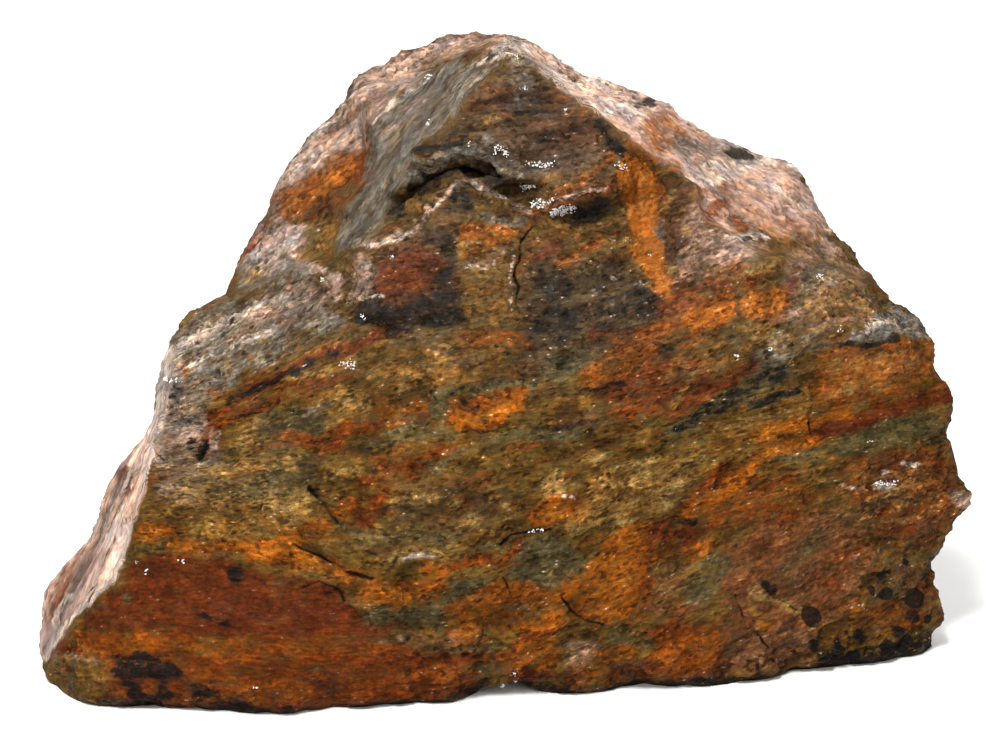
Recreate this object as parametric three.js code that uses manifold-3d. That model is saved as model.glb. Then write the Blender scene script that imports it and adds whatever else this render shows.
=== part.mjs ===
// Rough picture jasper: one broken lump of banded stone that stands on its long, uneven base.
// Millimetres. +Z is up, X runs along the stone's width, and the broad face looks towards -Y.
// The face is described as it is seen from the front and a little above: u to the right, v up the face,
// w towards the eye. Every landmark is a place on the seen face with its depth, [u, v, w].
import * as THREE from "three";
import { ImprovedNoise } from "three/addons/math/ImprovedNoise.js";
import Module from "manifold-3d";

// Driving dimensions
const FACE_LEAN = THREE.MathUtils.degToRad(18); // the broad face leans back from upright
const SIGHT_DISTANCE = 620; // from the eye to the plane w = 0
const SIGHT_CENTRE = [-1.2, 56.6]; // where the line of sight meets that plane
const EDGE_INSET = 1.3; // the turned rim is this wide, as seen
const EDGE_ROUND = 2.3; // and turns away by this depth on each side
const RIM_STEP = 3.4; // longest edge along the outline
const RIM_CHIP = 0.25; // the outline's small chips stand in or out by this much
const FACE_STEP = 5; // longest triangle edge on the face
const BACK_STEP = 9; // longest triangle edge on the back and underside
const FLAT_ENOUGH = THREE.MathUtils.degToRad(28); // two triangles that meet flatter than this can be re-cut
const RIM_KEEP = 7; // roughness fades out over this distance from the outline
const BROAD_WAVE = 19; // wavelength of the broad lumps
const BROAD_HEIGHT = 1;
const CHIP_WAVE = 8; // wavelength of the small chipped ridges
const CHIP_HEIGHT = 0.65;
const LEDGE_SPACING = 7.5; // from one weathered layer to the next
const LEDGE_HEIGHT = 0.5;
const LAYER_DIP = THREE.MathUtils.degToRad(17); // the layers climb to the right

const SIN_LEAN = Math.sin(FACE_LEAN);
const COS_LEAN = Math.cos(FACE_LEAN);

// Depth of a point of the lower edge that touches the ground, from its seen height.
function groundDepth(v) {
  return -v / (SIN_LEAN / COS_LEAN - (v - SIGHT_CENTRE[1]) / SIGHT_DISTANCE);
}

function onGround(points) {
  return points.map(([u, v]) => [u, v, groundDepth(v)]);
}

// The outline, clockwise from the lower left corner
const LEFT_END = [
  [-80.2, 0.3, -2], [-82.4, 2.6, -4], [-83.4, 6, -6], [-83.2, 11, -8], [-82.7, 17.6, -8], [-80.6, 20.5, -8],
  [-77.4, 24.3, -7], [-74.4, 27.3, -6], [-73, 31, -6], [-72, 35, -5], [-70, 38.8, -5], [-67.5, 42.3, -4],
  [-65, 45.2, -3], [-63.3, 48.5, -1], [-63, 52, -1], [-62.3, 56, -2], [-61, 60.5, -2], [-59, 64.6, -4],
];
const LEFT_SLOPE = [
  [-57.2, 67.2, -6], [-54, 69, -9], [-50.2, 70.7, -11], [-48.7, 74.5, -12], [-46.5, 79.4, -13], [-44.9, 83, -13],
  [-43, 85.3, -13], [-41.6, 89.6, -14], [-40, 92.6, -14], [-37.5, 96, -14], [-34.4, 99.9, -15], [-31, 103, -15],
  [-29.3, 105.2, -15], [-28, 108.4, -15], [-25.8, 110.6, -15], [-22, 111.8, -14], [-19, 114, -14],
];
const CREST = [
  [-15.2, 115.6, -13], [-12, 116.9, -12], [-8, 117.3, -11], [-3.5, 117.4, -9], [1.5, 116.9, -6], [4, 116.2, -7],
  [7, 114.4, -9], [10, 112.3, -11], [14, 110, -13],
];
const RIGHT_SLOPE = [
  [18, 108.9, -14], [22, 107.5, -14], [26, 105.9, -14], [29.5, 104.7, -14], [31, 102.4, -13], [34.5, 100.7, -13],
  [37, 99.2, -14], [41, 97.7, -14], [45, 95.6, -14], [50.5, 94, -15], [54, 90.5, -15], [56, 86.5, -14],
  [58, 83, -13], [59.5, 80.9, -12], [62.3, 79, -12], [63.6, 76.4, -11], [66.5, 72.5, -11], [69.5, 69.2, -11],
];
const RIGHT_END = [
  [72, 68, -11], [74.7, 65, -10], [76.1, 61, -9], [76.6, 57.2, -8], [79.3, 53.6, -9], [79.8, 49.2, -9],
  [78.8, 46, -9], [79.9, 42.5, -10], [81, 38.2, -10], [83, 35.2, -11], [82.9, 32.6, -12], [80.4, 30.8, -12],
  [78.8, 27.4, -12], [77.8, 24.8, -13], [76, 22.6, -13], [76.2, 18.8, -14], [77.8, 16, -15], [78.6, 12.2, -16],
  [76.3, 9.8, -16],
];
const LOWER_EDGE_RIGHT = onGround([
  [76, 7.8], [74, 6.4], [70, 5.8], [66, 4.9], [61, 4.6], [56.5, 4], [51, 3.6], [47.5, 2.1], [42, 1.6], [37, 0.8],
  [30, 0.6], [24.5, 1.2], [20.5, 0.6], [17, -0.3], [11, -0.6], [6, -0.2],
]);
const LOWER_EDGE_ARCH = [[3.5, 0.9, 1.6], [0.4, 1.8, 2.4], [-3.4, 0.9, 3.2]]; // the edge lifts off the ground here
const LOWER_EDGE_LEFT = onGround([
  [-5.6, -0.6], [-9.5, -2.2], [-16, -2.2], [-24.5, -3], [-31, -3], [-38, -4.2], [-45, -4.2], [-50, -3.6],
  [-58, -3.2], [-65, -2.8], [-70, -3], [-75, -2.4], [-78, -1.2],
]);
const OUTLINE = [
  ...LEFT_END, ...LEFT_SLOPE, ...CREST, ...RIGHT_SLOPE, ...RIGHT_END,
  ...LOWER_EDGE_RIGHT, ...LOWER_EDGE_ARCH, ...LOWER_EDGE_LEFT,
];

// Ridges, ledges and hollows of the face
const FACE = {
  leftEdge: [
    [-80.3, 7.5, 1], [-78.2, 10.5, 4], [-75.4, 13, 7], [-70, 19.5, 10.6], [-67.8, 25, 11.8], [-65.8, 31.5, 12],
    [-64.5, 37, 11.4], [-62.8, 44, 10.4], [-61.6, 50, 9.6], [-60.2, 56, 8], [-58.8, 62, 5],
  ],
  leftSide: [
    [-80, 14.5, -2], [-76.5, 18.5, 0.6], [-73.6, 23.6, 1.4], [-71.3, 28, 1.4], [-69.6, 33, 2.4], [-68.4, 37, -0.6],
    [-66.6, 41.5, 2.4], [-64.2, 46.5, 3],
  ],
  lowerCorner: [[-77, 4, 8], [-71, 1.5, 12.5], [-72, 8, 12]],
  lowerFace: [
    [-62, 3, 15], [-62, 12, 15.5], [-61, 20, 15], [-50, 2, 15.5], [-50, 11, 18], [-50, 20, 17], [-40, 3, 15.5],
    [-40, 11, 18.5], [-39, 19, 18], [-30, 3, 13.5], [-30, 11, 16.5], [-20, 3.5, 12], [-20, 11, 15.5], [-10, 4, 10.5],
    [-9, 12, 14.5], [1, 6.5, 9.5], [2, 14, 13.5], [12, 4.5, 6.5], [12, 11, 11.5], [24, 5, 4.5], [24, 14, 10],
    [37, 5, 2], [37, 14, 7.5], [48, 7, -1.5], [50, 15, 4], [62, 9, -7], [62, 17, -1], [71, 11, -11], [70, 18, -7],
  ],
  lowerLedge: [
    [-58, 26, 15.4], [-48, 25.6, 17.6], [-39, 26.6, 19.2], [-31, 22.4, 19.4], [-24, 19.6, 18], [-13, 18.5, 16.4],
  ],
  middle: [
    [-57, 35, 12.5], [-46, 34, 16], [-38, 35.6, 19], [-33, 31, 16.6], [-24, 29, 17], [-57, 42, 10.6], [-48, 44, 13.5],
    [-38, 46, 16], [-28, 40, 17.8], [-16, 45, 17], [-14, 33, 17.8], [-12, 24, 16.5], [0, 38, 17.8], [2, 27.8, 17.4],
    [3, 20, 14.5], [10, 34, 16], [12, 46, 15.8], [14, 22, 13.5], [22, 38, 14.9], [24, 28, 12.6], [31, 46, 13],
    [31, 33, 12.6], [36, 24, 9.5], [40, 40, 10.8], [46, 30, 8], [50, 46, 9], [54, 37, 6.5], [54.5, 24, 4.5],
    [63, 45, 4.5], [64, 34, 2.4], [64, 24, 0], [71, 40, 0], [72, 30, -4], [71, 23, -6.6], [75, 48, -2.5],
  ],
  leftGroove: [
    [-55.5, 47, 8.6], [-50, 51, 10.4], [-43, 54.6, 11.6], [-36, 58, 12.6], [-28, 61.5, 13.6], [-22, 63.8, 14],
  ],
  greyShoulder: [
    [-57, 53, 9], [-51, 58, 9.4], [-43, 61, 10.8], [-55, 63, 2.4], [-47, 66, 3.6], [-38, 66, 8.6], [-30, 67, 11.5],
    [-48, 71.5, -5], [-41, 71.5, 0.6], [-35, 73, 4.6],
  ],
  leftSlope: [
    [-45, 76, -8], [-40, 79, -4.6], [-36, 80.5, -0.6], [-32, 77, 4.6], [-41, 84.5, -9.4], [-35, 86, -5.4],
    [-30, 84, 0.6], [-37, 90, -10], [-31.5, 92, -6], [-34, 96, -11], [-30, 98.5, -9], [-27.5, 104, -11],
    [-22, 107.5, -9],
  ],
  slopeFoot: [[-26.3, 102.5, -7.6], [-26, 98, -6.4], [-25.2, 93.8, -4.2], [-28, 89.4, -2.4]],
  greyLip: [
    [-24.4, 104, -3], [-23.6, 98.4, 1], [-22.6, 93.6, 4], [-24.6, 88.6, 4.4], [-28.4, 86, 3.4], [-29.4, 80, 6.8],
  ],
  greySlope: [
    [-19, 107.5, -5], [-14, 110.5, -4], [-8, 113.5, -3], [-18, 101, 3.4], [-19, 94, 8], [-21.5, 88, 7.6],
    [-24.6, 83, 9], [-12, 106, 3.4], [-14.6, 100, 8], [-10, 112, -1],
  ],
  greyRidge: [[-1.6, 114, 5], [-5.6, 108, 8.4], [-9.6, 103, 10.4], [-13.6, 98.4, 11.4], [-17.4, 94.4, 11]],
  peakFace: [
    [1.4, 114, 5.6], [1.5, 108, 8.8], [0, 101, 11], [7, 102, 10.8], [-6, 99.6, 12], [13, 101.6, 9.6], [-1, 95, 13],
    [7, 94.6, 12.8], [15, 95.4, 11.2], [20, 95.6, 9],
  ],
  archLip: [[-18.4, 91, 11], [-13.6, 94.4, 13], [-8, 95.6, 14], [-3, 93.8, 14.2], [0.5, 91.4, 13.8]],
  archHollow: [[-21.6, 84.4, 8.4], [-18, 87.6, 5.4], [-13, 91, 5], [-8.4, 93, 5], [-3.6, 91.8, 6], [1, 88.8, 8.6]],
  lumpRim: [
    [-25.6, 78.6, 14], [-19, 81, 16.4], [-14.6, 84.8, 17.4], [-9.2, 90.6, 15.4], [-4.8, 89.2, 17], [0.2, 86.8, 17],
    [5.2, 84.8, 15.4],
  ],
  lumpFace: [
    [-20, 76, 19], [-12, 79, 20], [-5, 81.6, 19.2], [-12.6, 72, 20.2], [-20, 69.5, 18.6], [-28.6, 70.6, 13.4],
    [-25, 69.8, 16.8], [-2, 75.4, 18], [-9.6, 66, 18.6], [-19, 64.4, 15.4], [-27, 66, 13],
  ],
  valleyLedge: [[8, 87, 16], [13, 88.8, 16.2], [19.4, 89.4, 14.2], [8.5, 90.8, 14]],
  valleyHollow: [[9, 84.4, 12.4], [13, 85, 8.8], [17.4, 85.4, 8.6], [19.6, 87, 9.8]],
  underValley: [[4.4, 79, 16.4], [11, 79.6, 14.6], [18, 80.4, 12.4], [4.6, 70.6, 17], [12, 71.4, 15.4], [20, 73, 13.2]],
  orangeTrough: [[23.6, 93.6, 5.2], [23.8, 88, 4.8], [24.4, 82, 6.2], [26, 76, 9], [28.4, 71, 11.8]],
  besideTrough: [[28.2, 89.6, 9.4], [29.8, 82.6, 11.2], [31, 76, 12.4], [34, 83, 10.6]],
  rightRidge: [
    [3.4, 113.2, 4.8], [8, 108.8, 7.4], [13.6, 105, 8], [18.4, 101.4, 8.8], [23, 97.4, 9.2], [26.6, 94.8, 9.6],
    [30.4, 92.4, 9.8], [34.4, 89.6, 9.8],
  ],
  pinkSlope: [
    [8, 111.4, -4], [14, 107.6, -1.6], [20, 104.6, -1], [26, 101, -0.4], [30, 96.8, 3.4], [37, 93.6, 0.8],
    [43, 91.6, -4.4], [41, 86.6, 4.4], [47.6, 86.6, -2], [36.4, 82, 9.6], [39, 78.6, 10], [46.4, 79.6, 6.6],
    [53, 82, 0],
  ],
  rightShoulder: [
    [38, 72, 12.4], [45.6, 73, 9.4], [52, 74.6, 5], [57.4, 76.8, -1.6], [40, 66.4, 12.4], [49, 67, 9.8],
    [56, 69.4, 5], [62, 71.6, -1.6], [66, 68, -3], [59, 64, 6],
  ],
  greyLedge: [[60.6, 61.6, 6.2], [66.6, 62.6, 3.6], [72, 63, -0.6], [70.6, 65.6, -5]],
  upperMiddle: [
    [2.4, 62.6, 16.4], [-7, 58.6, 18.2], [-17, 57.6, 17.4], [-27, 54, 16.4], [-36, 51.6, 15.4], [-8, 50, 17.8],
    [4, 53, 17], [14, 60, 15.6], [19, 52.8, 15.4], [29, 64.6, 14], [30, 56.4, 14], [40, 55.4, 12.2], [41, 48, 11.6],
    [50.6, 57.6, 9], [61, 54.6, 5.4], [70, 55, 1.4],
  ],
};

// Faces that old breaks left on the back, which is not seen in the front view, so its form is plain and
// plausible. Each is a point on the face, [to the right, behind the foot of the plane w = 0, up], and the way
// the face looks.
const BREAKS = {
  lowerBack: [[0, 70, 20], [0.06, 1, -0.1]],
  middleBack: [[-10, 66, 52], [-0.12, 0.9, 0.42]],
  upperBack: [[8, 46, 92], [0.1, 0.7, 0.72]],
  leftCorner: [[-52, 52, 24], [-0.72, 0.7, 0.12]],
  leftUpper: [[-38, 40, 74], [-0.62, 0.5, 0.6]],
  rightCorner: [[54, 54, 24], [0.66, 0.75, 0.02]],
  rightUpper: [[46, 42, 74], [0.55, 0.55, 0.62]],
};
const WALL_SLOPE = 7; // the sides run back from the outline this steeply
const LEAST_SLOPE = 0.35; // and nowhere less than this
const WALL_RINGS = [3, 5.4]; // insets of the rows of points down the sides
const BACK_GRID = 8; // spacing of the points over the back
const FOOT_STEP = 5; // spacing of the points along the back's lower edge

// The stone stands on three pads worn flat, each [to the right, behind, radius].
const PADS = [[-46, 14, 17], [44, 26, 16], [2, 56, 16]];
const UNDERSIDE_HEIGHT = 1.6; // clearance under the rest of the stone
const PAD_DEPTH = 3.2; // the pads would reach this far below the clearance before the ground cuts them

const noise = new ImprovedNoise();

// The true place of a landmark that is seen at (u, v) at depth w.
function placeOf([u, v, w]) {
  const share = 1 - w / SIGHT_DISTANCE;
  return new THREE.Vector3(
    SIGHT_CENTRE[0] + (u - SIGHT_CENTRE[0]) * share,
    SIGHT_CENTRE[1] + (v - SIGHT_CENTRE[1]) * share,
    w,
  );
}

function signedArea(a, b, c) {
  return (b.x - a.x) * (c.y - a.y) - (b.y - a.y) * (c.x - a.x);
}

function asSeen(p) {
  return new THREE.Vector3(p.x, p.y, 0);
}

function angleAt(a, b, c) {
  return b.clone().sub(a).angleTo(c.clone().sub(a));
}

// Whether the edge from i to j is the longer way across its two triangles, whose other corners are near and far.
function isLongWay(i, j, near, far) {
  return angleAt(near, i, j) + angleAt(far, i, j) > Math.PI + 1e-6;
}

function isLongWaySeen(...corners) {
  return isLongWay(...corners.map(asSeen));
}

// The same in space, but never across a ridge or a groove.
function isLongWayInSpace(i, j, near, far) {
  const along = j.clone().sub(i);
  const sides = [near, far].map((p) => p.clone().sub(i).cross(along));
  return sides[0].negate().angleTo(sides[1]) < FLAT_ENOUGH && isLongWay(i, j, near, far);
}

function edgeKey(i, j) {
  return i < j ? `${i},${j}` : `${j},${i}`;
}

// Edges of the triangles, each with the triangles on it.
function edgesOf(triangles) {
  const edges = new Map();
  triangles.forEach((t, index) => {
    for (let k = 0; k < 3; k++) {
      const key = edgeKey(t[k], t[(k + 1) % 3]);
      if (!edges.has(key)) edges.set(key, []);
      edges.get(key).push(index);
    }
  });
  return edges;
}

// Joins the rim and the points inside it with triangles.
function triangulate(rim, inside) {
  const points = [...rim, ...inside];
  const flat = (p) => new THREE.Vector2(p.x, p.y);
  const triangles = THREE.ShapeUtils.triangulateShape(rim.map(flat), inside.map((p) => [flat(p)]));
  const sheet = { points, triangles: triangles.map((t) => counterClockwise(points, t)) };
  flipEdges(sheet, isLongWaySeen);
  return sheet;
}

function counterClockwise(points, [a, b, c]) {
  return signedArea(points[a], points[b], points[c]) > 0 ? [a, b, c] : [a, c, b];
}

// Turns each edge that isLong picks to the other way across its two triangles, if that leaves no fold.
function flipEdges({ points, triangles }, isLong) {
  const mostRounds = 40;
  const leastArea = 1e-6;
  for (let round = 0, flipped = true; flipped && round < mostRounds; round++) {
    flipped = false;
    const touched = new Set();
    for (const [key, pair] of edgesOf(triangles)) {
      if (pair.length !== 2 || pair.some((t) => touched.has(t))) continue;
      const [i, j] = key.split(",").map(Number);
      const [near, far] = pair.map((t) => triangles[t].find((p) => p !== i && p !== j));
      if (!isLong(points[i], points[j], points[near], points[far])) continue;
      const turned = [[near, far, i], [near, far, j]].map((t) => counterClockwise(points, t));
      const areaOf = (t) => signedArea(...t.map((p) => points[p]));
      const [first, second] = turned.map(areaOf);
      const before = pair.reduce((sum, t) => sum + areaOf(triangles[t]), 0);
      if (Math.min(first, second) < leastArea || Math.abs(first + second - before) > leastArea) continue;
      pair.forEach((t, k) => {
        triangles[t] = turned[k];
        touched.add(t);
      });
      flipped = true;
    }
  }
}

// Halves every edge that is longer than step, over and over. The rim's own edges are left as they are, and
// settle moves each new point to its depth.
function refine(sheet, step, settle) {
  const { points } = sheet;
  let { triangles } = sheet;
  const mostRounds = 8;
  for (let round = 0; round < mostRounds; round++) {
    const middles = new Map();
    for (const [key, pair] of edgesOf(triangles)) {
      const [i, j] = key.split(",").map(Number);
      if (pair.length !== 2 || points[i].distanceTo(points[j]) <= step) continue;
      middles.set(key, points.push(settle(points[i].clone().lerp(points[j], 0.5))) - 1);
    }
    if (!middles.size) break;
    triangles = triangles.flatMap((t) => splitTriangle(t, points, middles));
    flipEdges({ points, triangles }, isLongWayInSpace);
  }
  return { points, triangles };
}

function splitTriangle(t, points, middles) {
  const cuts = t.map((p, k) => middles.get(edgeKey(p, t[(k + 1) % 3])));
  const count = cuts.filter((m) => m !== undefined).length;
  if (!count) return [t];
  // Turn the triangle so that its first edge is cut and, with two cuts, its last edge is whole or cut last.
  const start = [0, 1, 2].find((k) => cuts[k] !== undefined && (count !== 2 || cuts[(k + 1) % 3] !== undefined));
  const [a, b, c] = [0, 1, 2].map((k) => t[(start + k) % 3]);
  const [ab, bc, ca] = [0, 1, 2].map((k) => cuts[(start + k) % 3]);
  if (count === 1) return [[a, ab, c], [ab, b, c]];
  if (count === 3) return [[a, ab, ca], [ab, b, bc], [ca, bc, c], [ab, bc, ca]];
  const acrossA = points[a].distanceTo(points[bc]);
  const acrossC = points[c].distanceTo(points[ab]);
  return acrossA < acrossC
    ? [[ab, b, bc], [a, ab, bc], [a, bc, c]]
    : [[ab, b, bc], [a, ab, c], [ab, bc, c]];
}

// The outline with no edge longer than the rim step, and chipped in or out a little between its landmarks.
function divideRim(rim) {
  return rim.flatMap((p, k) => {
    const next = rim[(k + 1) % rim.length];
    const parts = Math.ceil(p.distanceTo(next) / RIM_STEP);
    const outwards = new THREE.Vector3(p.y - next.y, next.x - p.x, 0).normalize();
    return Array.from({ length: parts }, (_, n) =>
      p.clone().lerp(next, n / parts).addScaledVector(outwards, n ? RIM_CHIP * (n % 2 ? 1 : -1) : 0),
    );
  });
}

// Each outline point moved inwards and away by the given amounts.
function insetRim(rim, inset, depth) {
  return rim.map((p, k) => {
    const before = rim[(k + rim.length - 1) % rim.length];
    const after = rim[(k + 1) % rim.length];
    const along = new THREE.Vector2(after.x - before.x, after.y - before.y).normalize();
    return new THREE.Vector3(p.x + along.y * inset, p.y - along.x * inset, p.z + depth);
  });
}

function insideRim(p, rim) {
  let inside = false;
  rim.forEach((a, k) => {
    const b = rim[(k + 1) % rim.length];
    if (a.y > p.y !== b.y > p.y && p.x < ((b.x - a.x) * (p.y - a.y)) / (b.y - a.y) + a.x) inside = !inside;
  });
  return inside;
}

function distanceToRim(p, rim) {
  return Math.min(...rim.map((q) => Math.hypot(p.x - q.x, p.y - q.y)));
}

// Points inside the rim, less those that crowd it or each other.
function thinned(points, rim, gap) {
  const kept = [];
  for (const p of points)
    if (insideRim(p, rim) && distanceToRim(p, rim) > gap && kept.every((q) => p.distanceTo(q) > gap)) kept.push(p);
  return kept;
}

// Points of a staggered grid, each a little off its place.
function scatter(spacing) {
  const points = [];
  const reach = 90;
  for (let row = 0; row * spacing < 2 * reach; row++)
    for (let column = 0; column * spacing < 2 * reach; column++) {
      const stagger = (row % 2) / 2;
      const u = (column + stagger) * spacing - reach + 0.3 * spacing * noise.noise(row + 0.5, column + 0.5, 1);
      const v = row * spacing - reach / 2 + 0.3 * spacing * noise.noise(row + 0.5, column + 0.5, 2);
      points.push(new THREE.Vector3(u, v, 0));
    }
  return points;
}

// Depth at (u, v) of the plane through a point of the standing stone that looks along a direction.
function planeDepth(u, v, [point, looks]) {
  const reach = looks.reduce((sum, n, k) => sum + n * point[k], 0);
  const seen = looks[0] * u + v * (looks[1] * SIN_LEAN + looks[2] * COS_LEAN);
  return (reach - seen) / (looks[2] * SIN_LEAN - looks[1] * COS_LEAN);
}

// Depth of the underside at (u, v): clear of the ground but for the pads.
function undersideDepth(u, v) {
  const behind = v / SIN_LEAN;
  const pad = Math.max(...PADS.map(([x, y, radius]) => 1 - ((u - x) ** 2 + (behind - y) ** 2) / radius ** 2), 0);
  return planeDepth(u, v, [[0, 0, UNDERSIDE_HEIGHT - PAD_DEPTH * pad], [0, 0, -1]]);
}

function breakDepth(u, v) {
  return Math.max(...Object.values(BREAKS).map((face) => planeDepth(u, v, face)));
}

// Points along the edge where the underside meets the faces of the back.
function footLine() {
  const points = [];
  const [leftEnd, rightEnd, low, high] = [-74, 78, -2, 50];
  for (let u = leftEnd; u <= rightEnd; u += FOOT_STEP) {
    let [under, over] = [low, high];
    while (over - under > 0.01) {
      const middle = (under + over) / 2;
      if (undersideDepth(u, middle) > breakDepth(u, middle)) under = middle;
      else over = middle;
    }
    points.push(new THREE.Vector3(u, over, 0));
  }
  return points;
}

// Puts a point of the back sheet on the deepest place that the breaks, the underside and the sides allow.
function settleBack(p, rim) {
  const away = distanceToRim(p, rim);
  const shares = rim.map((q) => 1 / (Math.hypot(p.x - q.x, p.y - q.y) + 0.1) ** 4);
  const total = shares.reduce((sum, share) => sum + share, 0);
  const edge = rim.reduce((sum, q, k) => sum + (q.z * shares[k]) / total, 0);
  const turned = EDGE_ROUND * Math.min(away / EDGE_INSET, 1);
  const inwards = Math.max(away - EDGE_INSET, 0);
  const side = edge - turned - WALL_SLOPE * inwards;
  const depth = Math.max(breakDepth(p.x, p.y), undersideDepth(p.x, p.y), side);
  p.z = Math.min(depth, edge - turned - LEAST_SLOPE * inwards);
  return p;
}

function ridged(x, y, z) {
  return 1 - 2 * Math.abs(noise.noise(x, y, z));
}

// Height of the broken surface at a place: broad lumps, chipped ridges and the edges of weathered layers.
function roughness(p) {
  const broad = noise.noise(p.x / BROAD_WAVE, p.y / BROAD_WAVE, p.z / BROAD_WAVE);
  const chips = ridged(p.x / CHIP_WAVE, p.y / CHIP_WAVE + 7, p.z / CHIP_WAVE);
  const bend = 3 * noise.noise(p.x / 30, p.y / 30, p.z / 30 + 4);
  const layer = (p.y * Math.cos(LAYER_DIP) - p.x * Math.sin(LAYER_DIP) + bend) / LEDGE_SPACING;
  const ledge = layer - Math.floor(layer);
  return BROAD_HEIGHT * broad + CHIP_HEIGHT * (chips - 0.5) + LEDGE_HEIGHT * (ledge - 0.5);
}

function closedSurface(front, back, rimLength) {
  const points = [...front.points, ...back.points.slice(rimLength)];
  const shift = front.points.length - rimLength;
  const moved = (p) => (p < rimLength ? p : p + shift);
  const triangles = [...front.triangles, ...back.triangles.map(([a, b, c]) => [moved(a), moved(c), moved(b)])];
  return { points, triangles };
}

function vertexNormals({ points, triangles }) {
  const normals = points.map(() => new THREE.Vector3());
  for (const [a, b, c] of triangles) {
    const ab = points[b].clone().sub(points[a]);
    const area = ab.cross(points[c].clone().sub(points[a]));
    for (const p of [a, b, c]) normals[p].add(area);
  }
  return normals.map((n) => n.normalize());
}

function roughen(surface, rim) {
  const normals = vertexNormals(surface);
  surface.points.forEach((p, k) => {
    const away = THREE.MathUtils.smoothstep(distanceToRim(p, rim), 0, RIM_KEEP);
    p.addScaledVector(normals[k], roughness(p) * away);
  });
}

// From the face frame to the standing stone.
function stand(p) {
  return new THREE.Vector3(p.x, p.y * SIN_LEAN - p.z * COS_LEAN, p.y * COS_LEAN + p.z * SIN_LEAN);
}

function solidFrom(wasm, positions, triangles) {
  const mesh = new wasm.Mesh({
    numProp: 3,
    vertProperties: new Float32Array(positions),
    triVerts: new Uint32Array(triangles.flat()),
  });
  return new wasm.Manifold(mesh);
}

function groundBlock(wasm) {
  const block = new THREE.BoxGeometry(400, 400, 40).translate(0, 0, -20);
  const corners = [];
  const at = block.attributes.position;
  const index = Array.from(block.index.array, (i) => {
    const corner = [at.getX(i), at.getY(i), at.getZ(i)];
    const found = corners.findIndex((c) => c.every((x, k) => x === corner[k]));
    return found >= 0 ? found : corners.push(corner) - 1;
  });
  return solidFrom(wasm, corners.flat(), [index]);
}

async function stoneGeometry() {
  const wasm = await Module();
  wasm.setup();
  const rim = divideRim(OUTLINE.map(placeOf));
  const ringGap = 0.7;
  const landmarkGap = 1.6;
  const gridGap = 4;
  const faceRing = insetRim(rim, EDGE_INSET, EDGE_ROUND);
  const backRing = insetRim(rim, EDGE_INSET, -EDGE_ROUND);
  const faceMarks = Object.values(FACE).flat().map(placeOf);
  const sideRows = WALL_RINGS.flatMap((inset) => insetRim(rim, inset, 0).filter((_, k) => k % 2));
  const faceInside = [...thinned(faceRing, rim, ringGap), ...thinned(faceMarks, faceRing, landmarkGap)];
  const backInside = [
    ...thinned(backRing, rim, ringGap),
    ...thinned([...footLine(), ...sideRows, ...thinned(scatter(BACK_GRID), sideRows, gridGap)], backRing, landmarkGap),
  ];
  const turningLeft = [...rim].reverse();
  const settle = (p) => settleBack(p, rim);
  const asPlaced = (p) => p;
  const front = refine(triangulate(turningLeft, faceInside), FACE_STEP, asPlaced);
  const back = refine(triangulate(turningLeft, backInside.map(settle)), BACK_STEP, settle);
  const surface = closedSurface(front, back, rim.length);
  roughen(surface, rim);
  const standing = surface.points.map(stand);
  const whole = solidFrom(wasm, standing.flatMap((p) => p.toArray()), surface.triangles);
  const cut = whole.subtract(groundBlock(wasm)).getMesh();
  const geometry = new THREE.BufferGeometry();
  geometry.setAttribute("position", new THREE.BufferAttribute(new Float32Array(cut.vertProperties), 3));
  geometry.setIndex(new THREE.BufferAttribute(new Uint32Array(cut.triVerts), 1));
  geometry.computeBoundingBox();
  const { min, max } = geometry.boundingBox;
  geometry.translate(-(min.x + max.x) / 2, -(min.y + max.y) / 2, -min.z);
  return geometry;
}

const jasper = new THREE.MeshStandardMaterial({ color: 0x7a5a3c, roughness: 0.6, metalness: 0 });
const stone = new THREE.Mesh(await stoneGeometry(), jasper);
stone.name = "jasper_stone";

const group = new THREE.Group();
group.add(stone);
export default group;
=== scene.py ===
"""Rough picture jasper: the banded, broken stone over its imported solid, its quartz and the studio."""

import functools
import math
from collections import defaultdict
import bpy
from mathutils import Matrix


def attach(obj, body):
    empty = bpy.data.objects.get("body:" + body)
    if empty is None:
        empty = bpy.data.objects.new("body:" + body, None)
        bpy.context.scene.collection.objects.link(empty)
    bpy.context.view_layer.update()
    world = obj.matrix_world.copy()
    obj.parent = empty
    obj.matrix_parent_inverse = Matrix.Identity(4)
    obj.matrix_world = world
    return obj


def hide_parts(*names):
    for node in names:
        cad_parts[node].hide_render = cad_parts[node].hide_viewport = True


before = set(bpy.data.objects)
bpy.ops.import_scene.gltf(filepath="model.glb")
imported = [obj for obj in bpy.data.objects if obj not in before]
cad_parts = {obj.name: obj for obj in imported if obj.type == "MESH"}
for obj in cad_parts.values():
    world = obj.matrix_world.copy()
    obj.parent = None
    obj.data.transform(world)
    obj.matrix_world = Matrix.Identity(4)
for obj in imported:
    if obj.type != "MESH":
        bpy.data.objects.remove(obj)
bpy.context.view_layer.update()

from types import SimpleNamespace

import bmesh
import bpy
import numpy as np
from mathutils import Matrix, Vector

bl_info = {
    "name": "Rough picture jasper",
    "version": (1, 0, 0),
    "blender": (4, 5, 0),
    "location": "View3D > Sidebar > Jasper",
    "description": "Dresses a broken lump of picture jasper and sets up a studio for it",
    "category": "Object",
}

MM = 0.001
STONE_NODE = "jasper_stone"
STONE_PIECE = "rough_jasper"
QUARTZ_PIECE = "drusy_quartz"

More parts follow.
